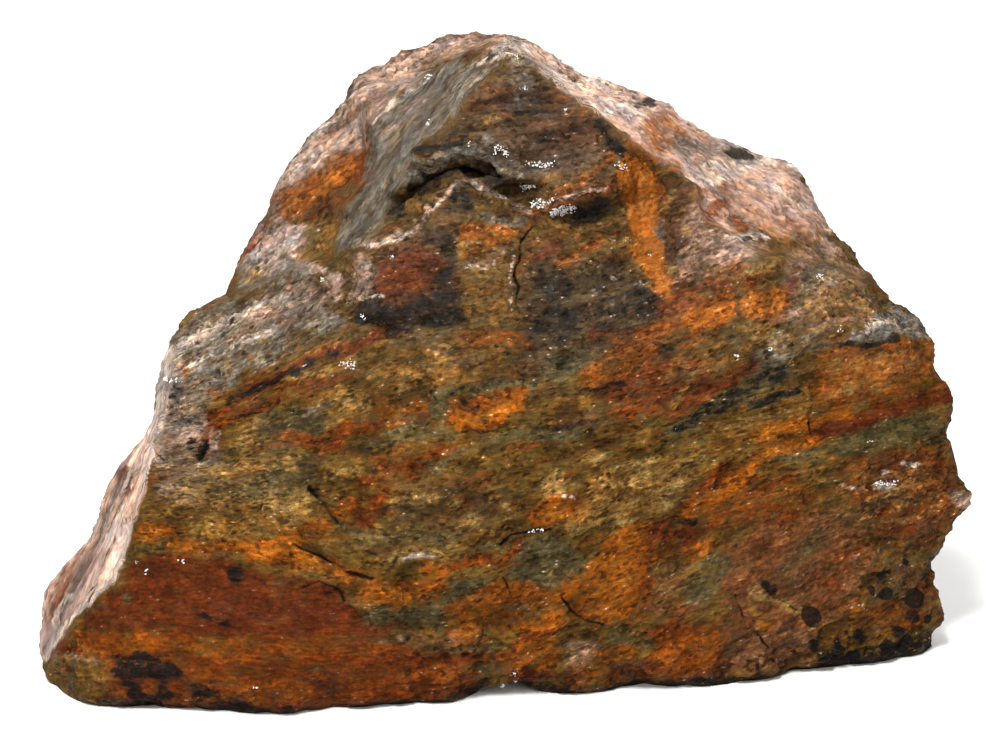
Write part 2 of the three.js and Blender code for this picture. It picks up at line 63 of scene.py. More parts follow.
# The stone's broad face leans back. Places on it are given in millimetres, as they are seen from the front
# and a little above: u to the right and v up the face, with w towards the eye.
FACE_LEAN = math.radians(18)
TOWARD_EYE = (0, -math.cos(FACE_LEAN), math.sin(FACE_LEAN))
UP_THE_FACE = (0, math.sin(FACE_LEAN), math.cos(FACE_LEAN))
SIGHT_DISTANCE = 620.0
SIGHT_CENTRE = (-1.2, 56.6)
FOOT = (0.0255, 29.392, 0.0)  # the part's origin, measured from the foot of the plane w = 0
VIEW_WIDTH = 178.4  # the picture's width at the plane w = 0
SENSOR_WIDTH = 36.0

FACE_DEPTH = 14.0  # the markings hold down to this depth behind the plane w = 0
BACK_FADE = 12.0  # over this depth more they pass into those of the back
BACK_DRIFT = (14.0, 9.0)  # how far the markings of the back are moved along u and v

# A line is at full strength up to the first share of its half width, and gone at the second.
LINE_CORE, LINE_END = 0.3, 1.9

RESTING_HEIGHT = 0.6 * MM  # what is lower rests on the ground and isn't moved
SMOOTHING_ROUNDS = 2
BLUNTING_ROUNDS = 3
SHARPEST_EDGE = math.radians(65)
EDGE_ON = 0.2  # a surface that turns less than this towards the eye or away from it is seen edge on

# How far the edges of the markings stray, along the beds and across them: the amount and the length of each
# swing in millimetres, and its seed.
STRAY_ALONG = ((0.4, 5, 1), (0.4, 1.5, 2))
STRAY_ACROSS = ((0.28, 5, 3), (0.3, 1.5, 4))
CRACK_WAVER = (0.5, 2.5, 5)

# Sizes of the patterns in millimetres: along the beds, across them and into the stone.
RELIEF_BEND_SIZE = (1.2, 0.8, 1.0)
RIDGE_SIZE = (11, 2.4, 6)
GRAIN_SIZE = (1.6, 1.1, 1.4)
CHIP_SIZE = (9, 5.5, 7)
FLAKE_SIZE = (3.4, 2.1, 2.8)
COLOUR_BEND_SIZE = (12, 8, 10)
STREAK_SIZE = (9, 1.5, 6)
LUMP_SIZE = (3.6, 2.4, 3.2)
SPECKLE_SIZE = (0.9, 0.75, 0.9)
SMALL_CHIP_SIZE = (1.0, 0.55, 0.8)
LARGE_CHIP_SIZE = (4.6, 2.2, 3.4)
FIBRE_SIZE = (2.8, 0.5, 2)
GRIT_SIZE = (0.625, 0.3846, 0.5556)
FROST_SIZE = 1.111
LEDGE_SPACING = 3.1

NOISE_MIDDLE = 0.5
NOISE_STRETCH = 2.4  # noise keeps near its middle, so it is stretched to reach the height that is asked for
CHIP_STRETCH = 2.6
FLAKE_STRETCH = 1.3
RELIEF_SEED = 4.0
DRUSE_SEED = 11

CRYSTAL_SIDES = 6
CRYSTAL_TIP = 0.12  # the tip's half width, as a share of the foot's width
CRYSTAL_TILT = 0.7  # the most that a crystal leans each way, in radians
CRYSTAL_TURN = 6.2
CRYSTAL_SIZES = (0.35, 1.4)  # the smallest and largest, as shares of the size that is asked for


def linear(code):
    """The linear colour of an sRGB hex code."""
    parts = [int(code[k : k + 2], 16) / 255 for k in (1, 3, 5)]
    return tuple(c / 12.92 if c <= 0.04045 else ((c + 0.055) / 1.055) ** 2.4 for c in parts)


def tint(name, code, description):
    """A colour that the user can change."""
    return bpy.props.FloatVectorProperty(
        name=name, description=description, default=linear(code), min=0, max=1, size=3, subtype="COLOR"
    )


def length(name, millimetres, description):
    """A length that the user can change, kept in metres."""
    return bpy.props.FloatProperty(
        name=name, description=description, default=millimetres * MM, min=0, unit="LENGTH", precision=5
    )


def power(name, watts, description):
    """A light's power that the user can change."""
    return bpy.props.FloatProperty(name=name, description=description, default=watts, min=0, unit="POWER")


# Markings of the face. A line has a half width and a patch a soft edge, both in millimetres, then a strength
# from 0 to 1, then the places it passes. A negative strength takes away what the marks before it laid down.
def line(half_width, strength, *places):
    return {"places": places, "reach": half_width, "strength": strength, "closed": False}


def patch(soft_edge, strength, *places):
    return {"places": places, "reach": soft_edge, "strength": strength, "closed": True}


def spots(radius, strength, *places):
    return [line(radius, strength, place) for place in places]


UMBER_MARKS = [
    line(1.6, 0.6, (-20, 63.6), (-13, 62), (-8, 59), (-2, 55.6)),
    patch(2, 0.5, (-4, 51), (2, 56), (8, 58), (12, 54), (4, 51)),
    line(0.7, 0.6, (-21, 107.6), (-14, 109.6), (-6, 111.6), (0, 114.6)),
    line(0.7, 0.55, (-39, 91), (-33, 96), (-28, 101), (-23, 103)),
    line(0.6, 0.5, (-26, 96), (-27, 101), (-25, 105)),
    line(0.8, 0.5, (12, 109.6), (20, 106), (28, 102)),
    line(0.9, 0.5, (38, 97.6), (44, 94), (50, 92)),
    line(0.7, 0.5, (36, 88), (44, 86), (52, 86)),
    patch(1.2, 0.85, (0, 112), (-5, 106), (-10, 100.5), (-15, 96.5), (-9, 97), (-5, 92), (1, 90), (5, 86),
          (9, 88.5), (16, 90), (21, 94), (22, 97), (17, 102), (11, 106.5), (5, 110.5)),
    patch(1.5, 0.8, (-27, 66), (-27, 78.5), (-20, 80.5), (-14, 84), (-9, 89), (-5, 88), (-8, 82), (-9, 77),
          (-7.5, 70), (-8.5, 65.5), (-18, 64.5)),
    patch(2, 0.95, (2.6, 56), (2.6, 66), (3.5, 74), (8, 77.6), (20, 76.4), (27, 70), (28, 65), (22, 61),
          (12, 57)),
    patch(2, 0.75, (18, 49), (16, 54), (24, 61), (34, 60), (38, 54), (30, 50)),
    patch(3, 0.5, (-22, 30), (-20, 37), (-8, 39), (0, 36), (2, 30), (-8, 27), (-18, 28)),
    patch(2, 0.5, (28, 71), (27, 80), (29, 91), (34, 91), (36, 83), (36, 72)),
    line(2, 0.55, (8, 45), (18, 49), (30, 52)),
    line(2, 0.6, (-25, 9), (-15, 8), (-5, 7)),
    line(1.6, 0.7, (20, 3), (30, 2.6), (38, 3)),
    patch(2, 0.55, (66, 12), (64, 20), (70, 24), (76, 22), (77, 13), (72, 10)),
]
MAUVE_MARKS = [
    patch(2, 0.6, (38, 12), (46, 14), (56, 12), (56, 5), (46, 2), (38, 3)),
    patch(2, 0.5, (-24, 72), (-22, 79), (-16, 82), (-11, 79), (-14, 74)),
    patch(3, 0.4, (-4, 93), (-2, 106), (4, 109), (14, 102), (18, 96), (8, 91)),
    line(2, 0.6, (-46, 53), (-43, 49), (-40, 44)),
    line(1.8, 0.7, (28, 71), (29, 80), (31, 88)),
    line(1.6, 0.6, (-28, 96), (-24, 101), (-18, 106)),
    line(1.6, 0.5, (-40, 86), (-35, 93), (-31, 99)),
    line(1.8, 0.5, (10, 107), (20, 103), (26, 99)),
    line(2, 0.45, (36, 93), (44, 90), (52, 90)),
    line(1, 0.6, (-77, 21), (-74, 25), (-72, 29)),
    line(0.8, 0.6, (-70, 34), (-67, 42), (-64, 50)),
    patch(2, 0.95, (40, 13), (38, 19), (40, 25), (46, 30), (54, 32.5), (62, 31), (67, 25), (64, 17),
          (57, 12), (50, 12), (44, 9)),
    patch(2, 0.7, (60, 36), (66, 40), (76, 42), (81, 37), (82, 33), (78, 28), (68, 27), (62, 31)),
    patch(1.5, 0.8, (-27, 109), (-19, 113.5), (-14, 116), (-6, 117.5), (2, 117), (-2, 115), (-8, 113),
          (-18, 110)),
    patch(2, 0.6, (28, 70), (27.5, 80), (30, 91), (35, 90), (37, 82), (37, 72)),
    patch(2, 0.5, (-36, 15), (-30, 18), (-24, 13), (-26, 9), (-34, 9)),
    patch(2, 0.5, (24, 13), (24, 21), (32, 22), (36, 16), (32, 11)),
]
MAROON_MARKS = [
    line(1.8, 0.34, (-82.6, 8), (-80.6, 14), (-77, 21)),
    line(0.8, 0.36, (-72, 31), (-69.4, 37), (-66.6, 44)),
    patch(1.2, 1, (-76, 11.5), (-72, 15.5), (-68.5, 19.5), (-67, 23), (-60, 24), (-50, 23.6), (-46, 21),
          (-40, 20.6), (-33, 19.5), (-28, 15.5), (-24, 12.5), (-20, 10.5), (-25, 8.5), (-40, 8.4),
          (-52, 10), (-60, 10.4), (-70, 10.6)),
    patch(2.2, 0.45, (60, 40.5), (66, 41.5), (74, 43.5), (79, 42), (81, 37), (80, 31), (76, 25), (68, 25),
          (66, 31)),
    patch(1.6, 0.7, (-25, 67), (-23, 76), (-16, 79), (-10, 77), (-8, 70), (-12, 66)),
    line(1.3, 1, (54.8, 46.4), (62, 47.7), (70, 50.8), (79.5, 52.6)),
    line(2.2, 0.95, (25, 26.4), (29, 28), (33, 28)),
    line(0.7, 0.85, (-25, 5.6), (-15, 6.1), (-5, 5.6), (3, 8), (8, 10.6)),
    line(1.2, 0.85, (3, 9.6), (7, 11.2), (10, 12.2)),
    line(1, 0.9, (1, 2.8), (8, 2.6)),
    line(0.8, 0.8, (-36, 58.2), (-28, 61.6), (-22, 64)),
    line(1.3, 0.85, (49.4, 69.6), (51, 72), (52.4, 74.4)),
    line(1.3, 0.8, (5.4, 77.6), (8, 79.4)),
    line(1, 0.8, (40.6, 84.4), (42, 82.6)),
    line(1.3, 1, (-68.6, 38.6), (-67.8, 36)),
    line(0.6, 0.8, (-80, 7.8), (-77, 7.2), (-75.5, 6.4)),
    line(0.7, 1, (8, 34), (13, 34.3)),
    line(0.6, 0.75, (-7, 113), (-3, 115)),
    line(1.8, 0.7, (-29, 92.6), (-25, 93.2)),
    line(1.2, 0.6, (-9, 51.4), (-4, 51.6), (2, 53)),
    line(2, 0.5, (64, 12), (72, 13), (77, 20)),
    line(1.6, 0.6, (30, 49), (36, 53), (44, 58)),
    patch(2.4, 0.7, (-44, 5), (-28, 6), (-12, 6), (-10, -2), (-26, -4), (-42, -4.5)),
    patch(2.4, 0.5, (-60, 7), (-44, 7), (-42, -3), (-60, -3)),
    line(1.6, 0.5, (-60, 6), (-50, 4), (-40, 4.6)),
    patch(2, 0.5, (25, 3), (27, 11), (37, 11), (39, 6), (34, 2)),
]
RUST_MARKS = [
    patch(1.5, 0.9, (-77, 10.4), (-60, 10.2), (-40, 8.4), (-24, 8.6), (-12, 6), (-5, 4), (-5, -1),
          (-16, -2.5), (-40, -4.5), (-60, -3.6), (-71, -1), (-72, 5)),
    patch(2.4, -0.4, (-44, 5), (-28, 6), (-12, 6), (-10, -2), (-26, -4), (-42, -4.5)),
    patch(2.4, -0.3, (-60, 7), (-44, 7), (-42, -3), (-60, -3)),
    line(0.9, 0.9, (-54.5, 45.4), (-53, 49), (-49, 51.5), (-44, 54.3), (-38, 57), (-31, 60.5), (-25, 62.5),
          (-21, 64.5)),
    line(0.6, 0.8, (-52, 47), (-47.5, 49.6), (-44, 50.6)),
    line(1.6, 0.4, (-54, 43), (-50, 48), (-44, 51), (-36, 54), (-28, 57)),
    patch(1.8, 0.75, (-26, 36), (-24, 41.5), (-18, 44), (-10, 44.4), (-6, 43), (-12, 40), (-18, 37)),
    patch(2.2, 0.6, (18, 49), (16, 55), (24, 62), (34, 60), (40, 54), (32, 50), (24, 48)),
    patch(2, 0.55, (54.6, 50), (54.4, 59), (58, 61.4), (66, 62), (74, 63.4), (77, 58), (80, 54), (72, 53),
          (62, 50.6)),
    patch(2, 0.7, (24, 10), (30, 12), (38, 11.6), (39, 8), (38, 3), (31, 1.6), (24, 3)),
    patch(2, 0.5, (33, 30.5), (40, 38), (50, 39), (55, 36), (52, 30), (42, 28), (36, 27)),
    patch(2.4, 0.36, (4, 99), (4, 107), (9, 107), (16, 102), (17, 97), (10, 96)),
    patch(2, 0.6, (19, 12), (20, 21), (25, 27), (30, 25), (27, 17), (25, 12)),
    patch(2.4, 0.55, (10, 0), (10, 4), (20, 6), (26, 5), (30, 1)),
    patch(2, 0.6, (60, 34), (62, 41), (70, 42.6), (78, 43), (80, 38), (79, 31), (70, 30)),
    line(1.3, 0.8, (-47, 78.4), (-44.4, 82), (-41, 85.4)),
    line(2.4, 0.9, (-40, 86), (-34, 90), (-30, 92.4), (-25.6, 93.4)),
    line(1.6, 0.6, (-40, 84.6), (-35, 86), (-30, 87.4)),
    line(1.6, 0.75, (-22, 73), (-18, 73.6), (-14, 73.4)),
    line(2.4, 0.85, (29.6, 68), (36, 71.4), (42, 73.4)),
    line(1.6, 0.7, (16, 63.8), (24, 63.4), (31, 66)),
    line(1.6, 0.8, (25, 92), (26.6, 87), (26.4, 82)),
    line(1.4, 0.7, (33, 33), (36, 36), (40, 40)),
    line(0.7, 0.8, (31, 48.2), (36, 51.4)),
    line(0.9, 1, (-12, 22.2), (-6, 22.6), (0, 24), (3, 26)),
    line(0.5, 0.9, (0.5, 22.2), (4, 23.6)),
    line(1.2, 0.75, (-45, 44), (-38, 45), (-30, 44)),
    line(1.1, 0.8, (-30, 46.4), (-22, 47), (-14, 49)),
    line(1.6, 0.75, (-29, 33), (-25, 31), (-23, 34)),
    line(0.6, 0.75, (-57, 58.5), (-52, 61), (-46, 63.5), (-41, 66.5)),
    line(0.9, 0.6, (-63, 38), (-58, 39.5), (-54, 41.5)),
    line(1, 0.8, (5.5, 84.8), (10, 87.3), (15, 88.6), (20, 89.8)),
    line(2, 0.5, (-80.4, 12), (-78.4, 18), (-75, 23.5)),
    line(1.4, 0.5, (-81, 14), (-79, 19)),
    patch(2, 0.5, (60, 32), (62, 40), (72, 43), (80, 40), (80, 32), (70, 29)),
    line(1.2, 0.5, (-30, 100), (-26, 104), (-22, 106)),
    line(0.8, 0.5, (-40, 93), (-34, 100), (-29, 106)),
    line(1.8, 0.5, (56, 16), (60, 20), (62, 25)),
    line(3, 0.35, (-10, 108), (8, 104)),
    patch(2, 0.3, (40, 80), (44, 90), (52, 92), (58, 84), (54, 79)),
    patch(2, 0.4, (29, 93), (31, 101), (38, 98), (36, 91)),
    patch(2, 0.45, (56, 64), (54, 72), (60, 79), (64, 73), (66, 67)),
    patch(2, 0.3, (44, 82), (48, 88), (56, 86), (58, 80), (52, 79)),
    line(1.4, 0.8, (36.6, 84.6), (38.6, 87)),
    line(1.2, 0.5, (34, 88), (40, 90)),
    line(1, 0.5, (-72, 22), (-70, 27)),
    line(1.6, 0.4, (-34, 99), (-30, 104), (-26, 108)),
]
ORANGE_MARKS = [
    *spots(1.2, 0.36, (-46, 60), (-52, 53), (-40, 66), (-57, 57), (-60, 45)),
    line(1.6, 0.45, (-77, 8.6), (-70, 8.3), (-62, 8), (-50, 7.4)),
    line(1.4, 0.36, (-48, 6), (-38, 8.6), (-30, 9.6)),
    line(1.5, 0.36, (-55, 2.6), (-45, -0.2), (-36, 0.2)),
    line(1, 0.3, (-30, 1.8), (-18, 2.2), (-6, 3)),
    line(1, 0.95, (-66, 27.3), (-61, 28.4), (-59, 26.3), (-54, 25.4), (-46, 25.2), (-40, 26.4), (-36, 27.6),
          (-32.5, 29.6)),
    patch(0.8, 1, (-65.6, 26.8), (-61, 26.2), (-59.4, 28.8), (-62, 30), (-65.6, 29)),
    line(1.6, 0.75, (-45, 24.4), (-38, 24.7), (-33, 22.6), (-28, 20.2), (-24, 17.6)),
    patch(1, 0.95, (-10, 47), (-10, 51.6), (-6, 52.6), (0, 53.4), (4, 55), (4.6, 53), (3, 50), (0, 48),
          (-5, 46.8)),
    line(2.1, 0.9, (15.4, 55.6), (19, 57.5), (23, 60), (25, 62)),
    line(1.4, 0.75, (-7, 63.4), (0, 63.6), (3, 62)),
    line(1.6, 0.6, (-21, 48.6), (-15, 51)),
    *spots(1.3, 0.85, (-9, 34), (-30, 32)),
    line(2, 0.9, (6, 31), (9, 32.4), (13, 31.4)),
    line(2, 0.9, (-25, 18), (-20, 17), (-14, 18.4), (-13, 21)),
    line(1.9, 0.95, (-8, 13.6), (-2, 17.4), (4, 16.4), (9, 16.4), (13, 19)),
    patch(1.6, 0.95, (10, 16), (13, 19.6), (17, 25), (20, 28.6), (25, 29.6), (25, 24), (24, 19), (22, 14.5),
          (18, 12), (13, 13)),
    line(1.7, 0.85, (-8, 10), (-3, 13), (4, 11.6), (9, 13)),
    patch(1.5, 0.85, (-5, 5), (2, 8), (9, 10), (11, 6.5), (8, 3.8), (0, 4.2)),
    line(1.6, 0.75, (17, 6), (21, 6.6)),
    patch(1.6, 0.5, (26, 9.5), (30, 11), (36, 11), (38, 8), (36, 4), (31, 3), (26, 5)),
    patch(2, 0.62, (55, 51), (55, 59), (62, 61), (74, 62.6), (77, 58), (74, 55), (64, 53)),
    line(1.1, 1, (33, 31.2), (37, 33.6), (42, 39), (48, 43), (54.5, 45)),
    line(1.6, 0.95, (45.6, 45), (50, 46.8), (54, 47.4)),
    line(0.9, 0.75, (55, 48.2), (61, 49)),
    line(2.1, 1, (33.8, 65.8), (37, 67.4), (39.6, 69)),
    line(2.4, 1, (44.8, 69), (48.2, 69)),
    line(1.2, 0.65, (32, 62), (37, 65)),
    line(1.6, 0.5, (20, 62), (28, 64), (33, 66)),
    patch(1.2, 0.95, (-9, 80), (-8, 82.6), (-3, 83), (2, 82), (5, 84), (4, 81.5), (0, 80.2), (-4, 78),
          (-8, 77.3)),
    line(1, 0.75, (10, 76.6), (13, 78.3), (16.5, 79.5)),
    line(0.7, 0.75, (5, 85), (8, 87.6), (12, 90.5), (17, 93), (19, 95.5)),
    line(1.4, 0.8, (22.6, 92.6), (22.9, 88), (23.6, 83), (25.6, 77), (28.6, 71.4)),
    line(2, 0.95, (-38.4, 86.8), (-34, 90.3), (-29, 92.6)),
    patch(1.4, 0.6, (23, 97), (25, 99.5), (24, 102.5), (28, 104.5), (31, 102.5), (32.5, 99.5), (29, 96),
          (27, 94.5)),
    line(0.9, 0.7, (22, 97.6), (26, 94.6), (30, 92.8)),
    line(0.5, 0.8, (60.5, 60.8), (68, 61.7), (75, 62.2)),
    *spots(0.9, 0.8, (0, 102), (46.5, 11.8)),
    line(1.2, 0.5, (60, 14.6), (68, 14), (74, 12)),
    line(1.4, 0.5, (24, 24), (30, 23), (36, 26)),
    line(1.4, 0.4, (-50, 39), (-44, 40)),
]
OCHRE_MARKS = [
    line(0.8, 0.7, (44.2, 16), (45.6, 10.6)),
    line(1.2, 0.4, (-36, 98), (-32, 102), (-28, 105)),
    line(1, 0.45, (-14, 112), (-8, 114.6), (-2, 116)),
    patch(1.2, 0.8, (-59, 26.8), (-52, 26.4), (-46, 27), (-40, 28.4), (-42, 31), (-50, 31.6), (-58, 30.5)),
    patch(2, 0.55, (-65, 31), (-58, 31), (-42, 31), (-36, 33), (-34, 38), (-44, 40), (-60, 38)),
    patch(1.5, 0.7, (-42, 31), (-43, 34.4), (-41, 36), (-37, 35.8), (-35, 34.4), (-36, 31), (-38, 29.5)),
    *spots(1.2, 0.95, (-52, 31.4), (-39, 40.6), (-37.4, 41)),
    patch(1.6, 0.8, (-36, 48), (-34, 52), (-28, 54.6), (-24, 53), (-26, 49), (-31, 47.5)),
    patch(1.6, 0.5, (-24, 53), (-24, 58), (-20, 61), (-16, 62), (-12, 60), (-6, 62), (-2, 64), (0.5, 60),
          (-3, 57), (-8, 54.4), (-14, 53.4)),
    patch(1.6, 0.7, (-8, 65), (-8, 74), (-3, 77), (0.6, 76), (1, 68), (0, 64.6)),
    patch(2, 0.6, (12, 33), (14, 37), (18, 40.5), (26, 41), (34, 43), (31, 37), (30, 31.5), (24, 31),
          (18, 31)),
    patch(2, 0.45, (38, 41), (44, 48), (52, 52), (54, 47), (46, 41)),
    patch(2, 0.4, (-82, 6), (-79, 2), (-76, -1.5), (-70, -2.8), (-69.6, 1.5), (-71, 5.5), (-76, 6.5)),
    patch(1.3, 0.6, (-37.4, 76), (-37, 80), (-33, 83.4), (-30.4, 84), (-30.2, 77), (-33, 75.6)),
    patch(2, 0.5, (44, 75), (46, 80), (54, 82), (56, 78), (50, 75)),
    patch(2, 0.6, (53, 62), (52, 72), (56, 79), (64, 74), (66, 68), (58, 61)),
    patch(2, 0.4, (40, 78), (40, 84), (50, 84), (58, 82), (54, 77)),
    patch(2, 0.4, (5, 87), (6, 92), (14, 94), (17, 91), (10, 88.6)),
    line(1.2, 0.5, (-50, 28), (-44, 34), (-40, 42)),
    line(2, 0.35, (-20, 41), (-12, 46), (-4, 47)),
    line(2.4, 0.4, (30, 56), (38, 60), (46, 63)),
    line(2, 0.35, (40, 47), (50, 50), (54, 53)),
]
SLATE_MARKS = [
    patch(2, 0.34, (-42, 90), (-36, 99), (-30, 106), (-24, 113), (-10, 116), (-2, 115), (-10, 111),
          (-22, 103), (-27, 95), (-34, 91)),
    patch(1.6, 0.66, (-63, 42.4), (-58, 43.4), (-54.5, 46.4), (-55, 50), (-50, 53.6), (-45, 57), (-38, 60),
          (-30, 63.6), (-28, 66), (-33, 70), (-40, 70.5), (-48, 70.5), (-54, 68.5), (-60, 64), (-62.5, 56),
          (-63.2, 48)),
    patch(1.6, 0.9, (-48.6, 72), (-46.4, 76.4), (-40, 77.4), (-36, 76), (-34, 72.5), (-40, 70.5)),
    patch(1, 1, (-30.4, 78.6), (-29.4, 86), (-25.4, 90), (-24.4, 95), (-24.6, 100), (-20, 105), (-14, 110),
          (-5, 112.4), (-2, 112), (-6, 106.5), (-11, 101), (-16, 95.5), (-19, 90), (-22, 84), (-25, 79.8)),
    line(1.3, 0.8, (-17.6, 91), (-12, 95), (-7, 97), (-4, 97)),
    patch(3, 0.24, (-4, 93), (-2, 106), (4, 109), (14, 102), (18, 96), (8, 91)),
    line(1.2, 0.6, (-36, 49.6), (-31, 51)),
    patch(2, 0.24, (-60, 32), (-60, 42), (-40, 42), (-38, 33)),
    line(2, 0.5, (46, 59), (50, 62), (56, 63)),
    patch(0.9, 1, (60.4, 62), (64, 64.4), (66, 67.4), (70, 68.6), (75.4, 65), (76, 62.8), (70, 63),
          (65, 61.8)),
    line(1.8, 0.75, (54, 73), (58, 74.6)),
    line(2, 0.45, (46, 100), (52, 94)),
    line(2, 0.4, (32, 97), (37, 96)),
    line(2, 0.4, (-44, 82), (-38, 88), (-33, 96)),
    line(1.4, 0.5, (-34, 100), (-29, 106), (-25, 110)),
    line(1.2, 0.5, (-80, 14), (-75, 22), (-71, 30)),
    line(1.2, 0.6, (-3, 84.4), (3, 84)),
    line(1.7, 0.55, (1, 112), (3, 108), (2, 104)),
    line(1.4, 0.5, (-8, 96), (0, 93), (6, 93)),
    line(1.2, 0.6, (26.6, 84), (28, 79)),
    line(1.5, 0.65, (35.6, 95), (40, 95.6)),
    line(0.8, 0.55, (3, 112), (8, 111), (13, 109.6)),
    line(1.4, 0.5, (-72, 28), (-71, 34), (-68.6, 40)),
    line(1, 0.9, (42, 80.6), (45, 80.6)),
]
MOSS_MARKS = [
    patch(2, 0.5, (-65, 33), (-58, 36), (-50, 34), (-40, 31), (-34, 36), (-32, 42), (-40, 46), (-52, 43),
          (-62, 42)),
    line(2.2, 0.8, (-43, 46.6), (-39, 48), (-34, 48.4)),
    line(1, 0.7, (-54, 24.6), (-50, 24.2)),
    *spots(0.9, 0.6, (-62, 25.4), (-68.4, 16.4)),
    line(0.9, 0.9, (-14, 52), (-8, 53.5), (0, 54.4), (5, 54.4)),
    line(2, 0.75, (-20, 46.6), (-14, 50), (-11, 50)),
    line(1.2, 0.6, (-26, 43.6), (-18, 45.6), (-10, 45.6)),
    line(1.1, 0.8, (-2, 44.6), (5, 45.6), (12, 45.4)),
    patch(1.5, 0.75, (5, 56), (8, 60), (14, 61), (19, 59), (15, 55.5), (9, 54.5)),
    line(0.9, 0.7, (-13, 39.4), (-9, 42), (-6, 43.4)),
    line(2, 0.5, (-26, 26.6), (-16, 27.6), (-9, 26.6)),
    patch(1.3, 0.85, (-26, 12), (-24, 15.4), (-18, 15.6), (-12, 15), (-9, 19.5), (-4, 20.5), (-2, 18),
          (-7, 14.5), (-12, 11.5), (-18, 11.4)),
    patch(1.3, 0.9, (0, 20), (3, 26), (8, 28), (12, 25), (15, 22), (13, 18.8), (8, 17.8), (3, 18)),
    line(1, 0.8, (-2, 14.4), (2, 15), (5, 13.6)),
    line(1.3, 0.65, (19, 10), (23, 8), (26, 8)),
    line(2.7, 0.75, (34, 18), (37, 22)),
    line(2, 0.45, (50, 21), (56, 28)),
    patch(1.4, 0.75, (55, 43), (60, 45.4), (68, 48.6), (76, 49.6), (78.5, 47), (76, 44.5), (68, 42.5),
          (60, 41.5)),
    line(1.3, 0.75, (44.6, 41), (49, 42.4), (54.6, 43.4)),
    line(1.5, 0.9, (30, 46.2), (36, 50), (42, 53.4), (49.5, 57)),
    line(0.8, 0.8, (44, 51.4), (49, 52.5), (52.5, 53.5)),
    patch(2, 0.34, (5.4, 60), (5, 66), (6, 75), (12, 77), (22, 75), (28, 70), (22, 64), (12, 61)),
    *spots(1, 0.7, (21, 93.8), (40.6, 62.4), (-44, 36)),
    line(1.4, 0.35, (52, 3.6), (60, 5)),
    line(1.6, 0.45, (62, 32), (70, 35)),
]
PINK_MARKS = [
    patch(0.7, 0.92, (-84, 6), (-84, 12), (-83, 18.4), (-78, 25), (-73.6, 31.4), (-70.6, 39.4), (-65.4, 46),
          (-63.4, 53), (-61.4, 61.6), (-59.4, 60), (-61.3, 50), (-62.8, 44), (-64.5, 37), (-65.8, 31.5),
          (-67.8, 25), (-68.8, 21.4), (-70.8, 19.2), (-75.6, 14), (-78.4, 10.6), (-81, 6.6), (-82, 4.6)),
    patch(1.4, 0.54, (-47, 79), (-45, 84), (-42, 90), (-37.6, 97), (-31.5, 104), (-28.5, 109), (-24, 112),
          (-18, 114), (-14, 111), (-19, 106.4), (-24.8, 101), (-25.4, 96), (-30, 95.6), (-34, 92.4),
          (-38, 88), (-42, 83.6)),
    patch(1.2, 0.86, (2, 116), (8, 114), (14, 111), (22, 108), (29.8, 105.4), (35, 101.6), (45, 96.6),
          (51, 94.6), (57, 86), (59, 82), (53, 80), (46, 82), (40, 82), (36, 84.6), (35, 90), (30, 92.6),
          (25, 96), (19, 101.2), (13, 105.8), (7, 109.8)),
    patch(1.5, 0.6, (36, 77), (38, 81), (46, 80), (44, 77), (39, 75.6)),
    patch(1.6, 0.5, (-26, 109), (-19, 113.6), (-13, 116.6), (-5, 118), (3, 117.4), (1, 115.4), (-6, 113.4),
          (-17, 110)),
    patch(1.4, 0.16, (39.6, 11), (45, 12), (50, 13), (55, 11), (56, 6), (50, 4), (45, 3), (39, 3)),
    patch(1.3, 0.22, (10.4, 9), (14, 10), (17.5, 9), (16, 5), (13.5, 1), (11, 0.5), (10.3, 4)),
    patch(1.8, 0.4, (-28, 68.6), (-29, 74), (-26, 78), (-23, 76), (-23, 71)),
    patch(2, 0.26, (56, 51), (56, 59), (64, 61), (74, 61), (76, 57), (66, 53)),
    patch(2, 0.75, (-48, 73), (-46, 80), (-40, 85), (-35, 83), (-36, 77), (-42, 74)),
    line(1.6, 0.6, (-62, 42), (-60.6, 50), (-58.6, 58)),
    line(0.9, 0.7, (-37, 76), (-32, 75), (-30, 73)),
    line(1.2, 0.45, (-30.6, 70), (-31, 73)),
    line(1.2, 0.55, (-22, 99), (-17, 104), (-12, 107.5)),
    line(1.5, 0.5, (-44, 66), (-36, 70)),
    line(1.3, 0.5, (80, 34.6), (82, 33.6)),
    line(0.8, 0.3, (-78, 6), (-73, 5.2)),
    line(0.9, 0.3, (-8, 76), (-4, 75.8), (0, 78.4)),
    # The pale rim along the upper edge of the lump and of the small ledge beside it: pale rind, partly
    # painted highlight where the edge catches the light.
    line(0.7, 0.42, (-25, 79.4), (-18, 81.4), (-13, 86), (-8, 91), (-2, 89.4)),
    line(0.6, 0.3, (-2, 89.4), (5, 85), (12, 88), (19, 89.6)),
    patch(2, 0.42, (48, 66), (50, 78), (57, 82), (64, 75), (67, 67), (58, 63)),
    patch(2, 0.42, (-63, 34), (-62, 54), (-57, 55), (-52, 48), (-50, 40), (-56, 32)),
    patch(2, 0.4, (-48, 66), (-44, 71), (-36, 73), (-30, 72), (-32, 66), (-40, 64)),
    line(1.4, 0.5, (25, 98), (28, 95), (31, 93)),
    patch(2, 0.2, (-36, 85), (-40, 90), (-33, 95), (-27, 94), (-29, 88)),
    *spots(0.9, 0.3, (-9, 9.4), (-19, 9.2), (-44, 8), (-48.5, 6.6), (-34, 3.6), (62, 23), (-58, 16)),
    patch(3, 0.34, (30, 72), (31, 84), (34, 92), (40, 88), (48, 82), (48, 77), (38, 74)),
]
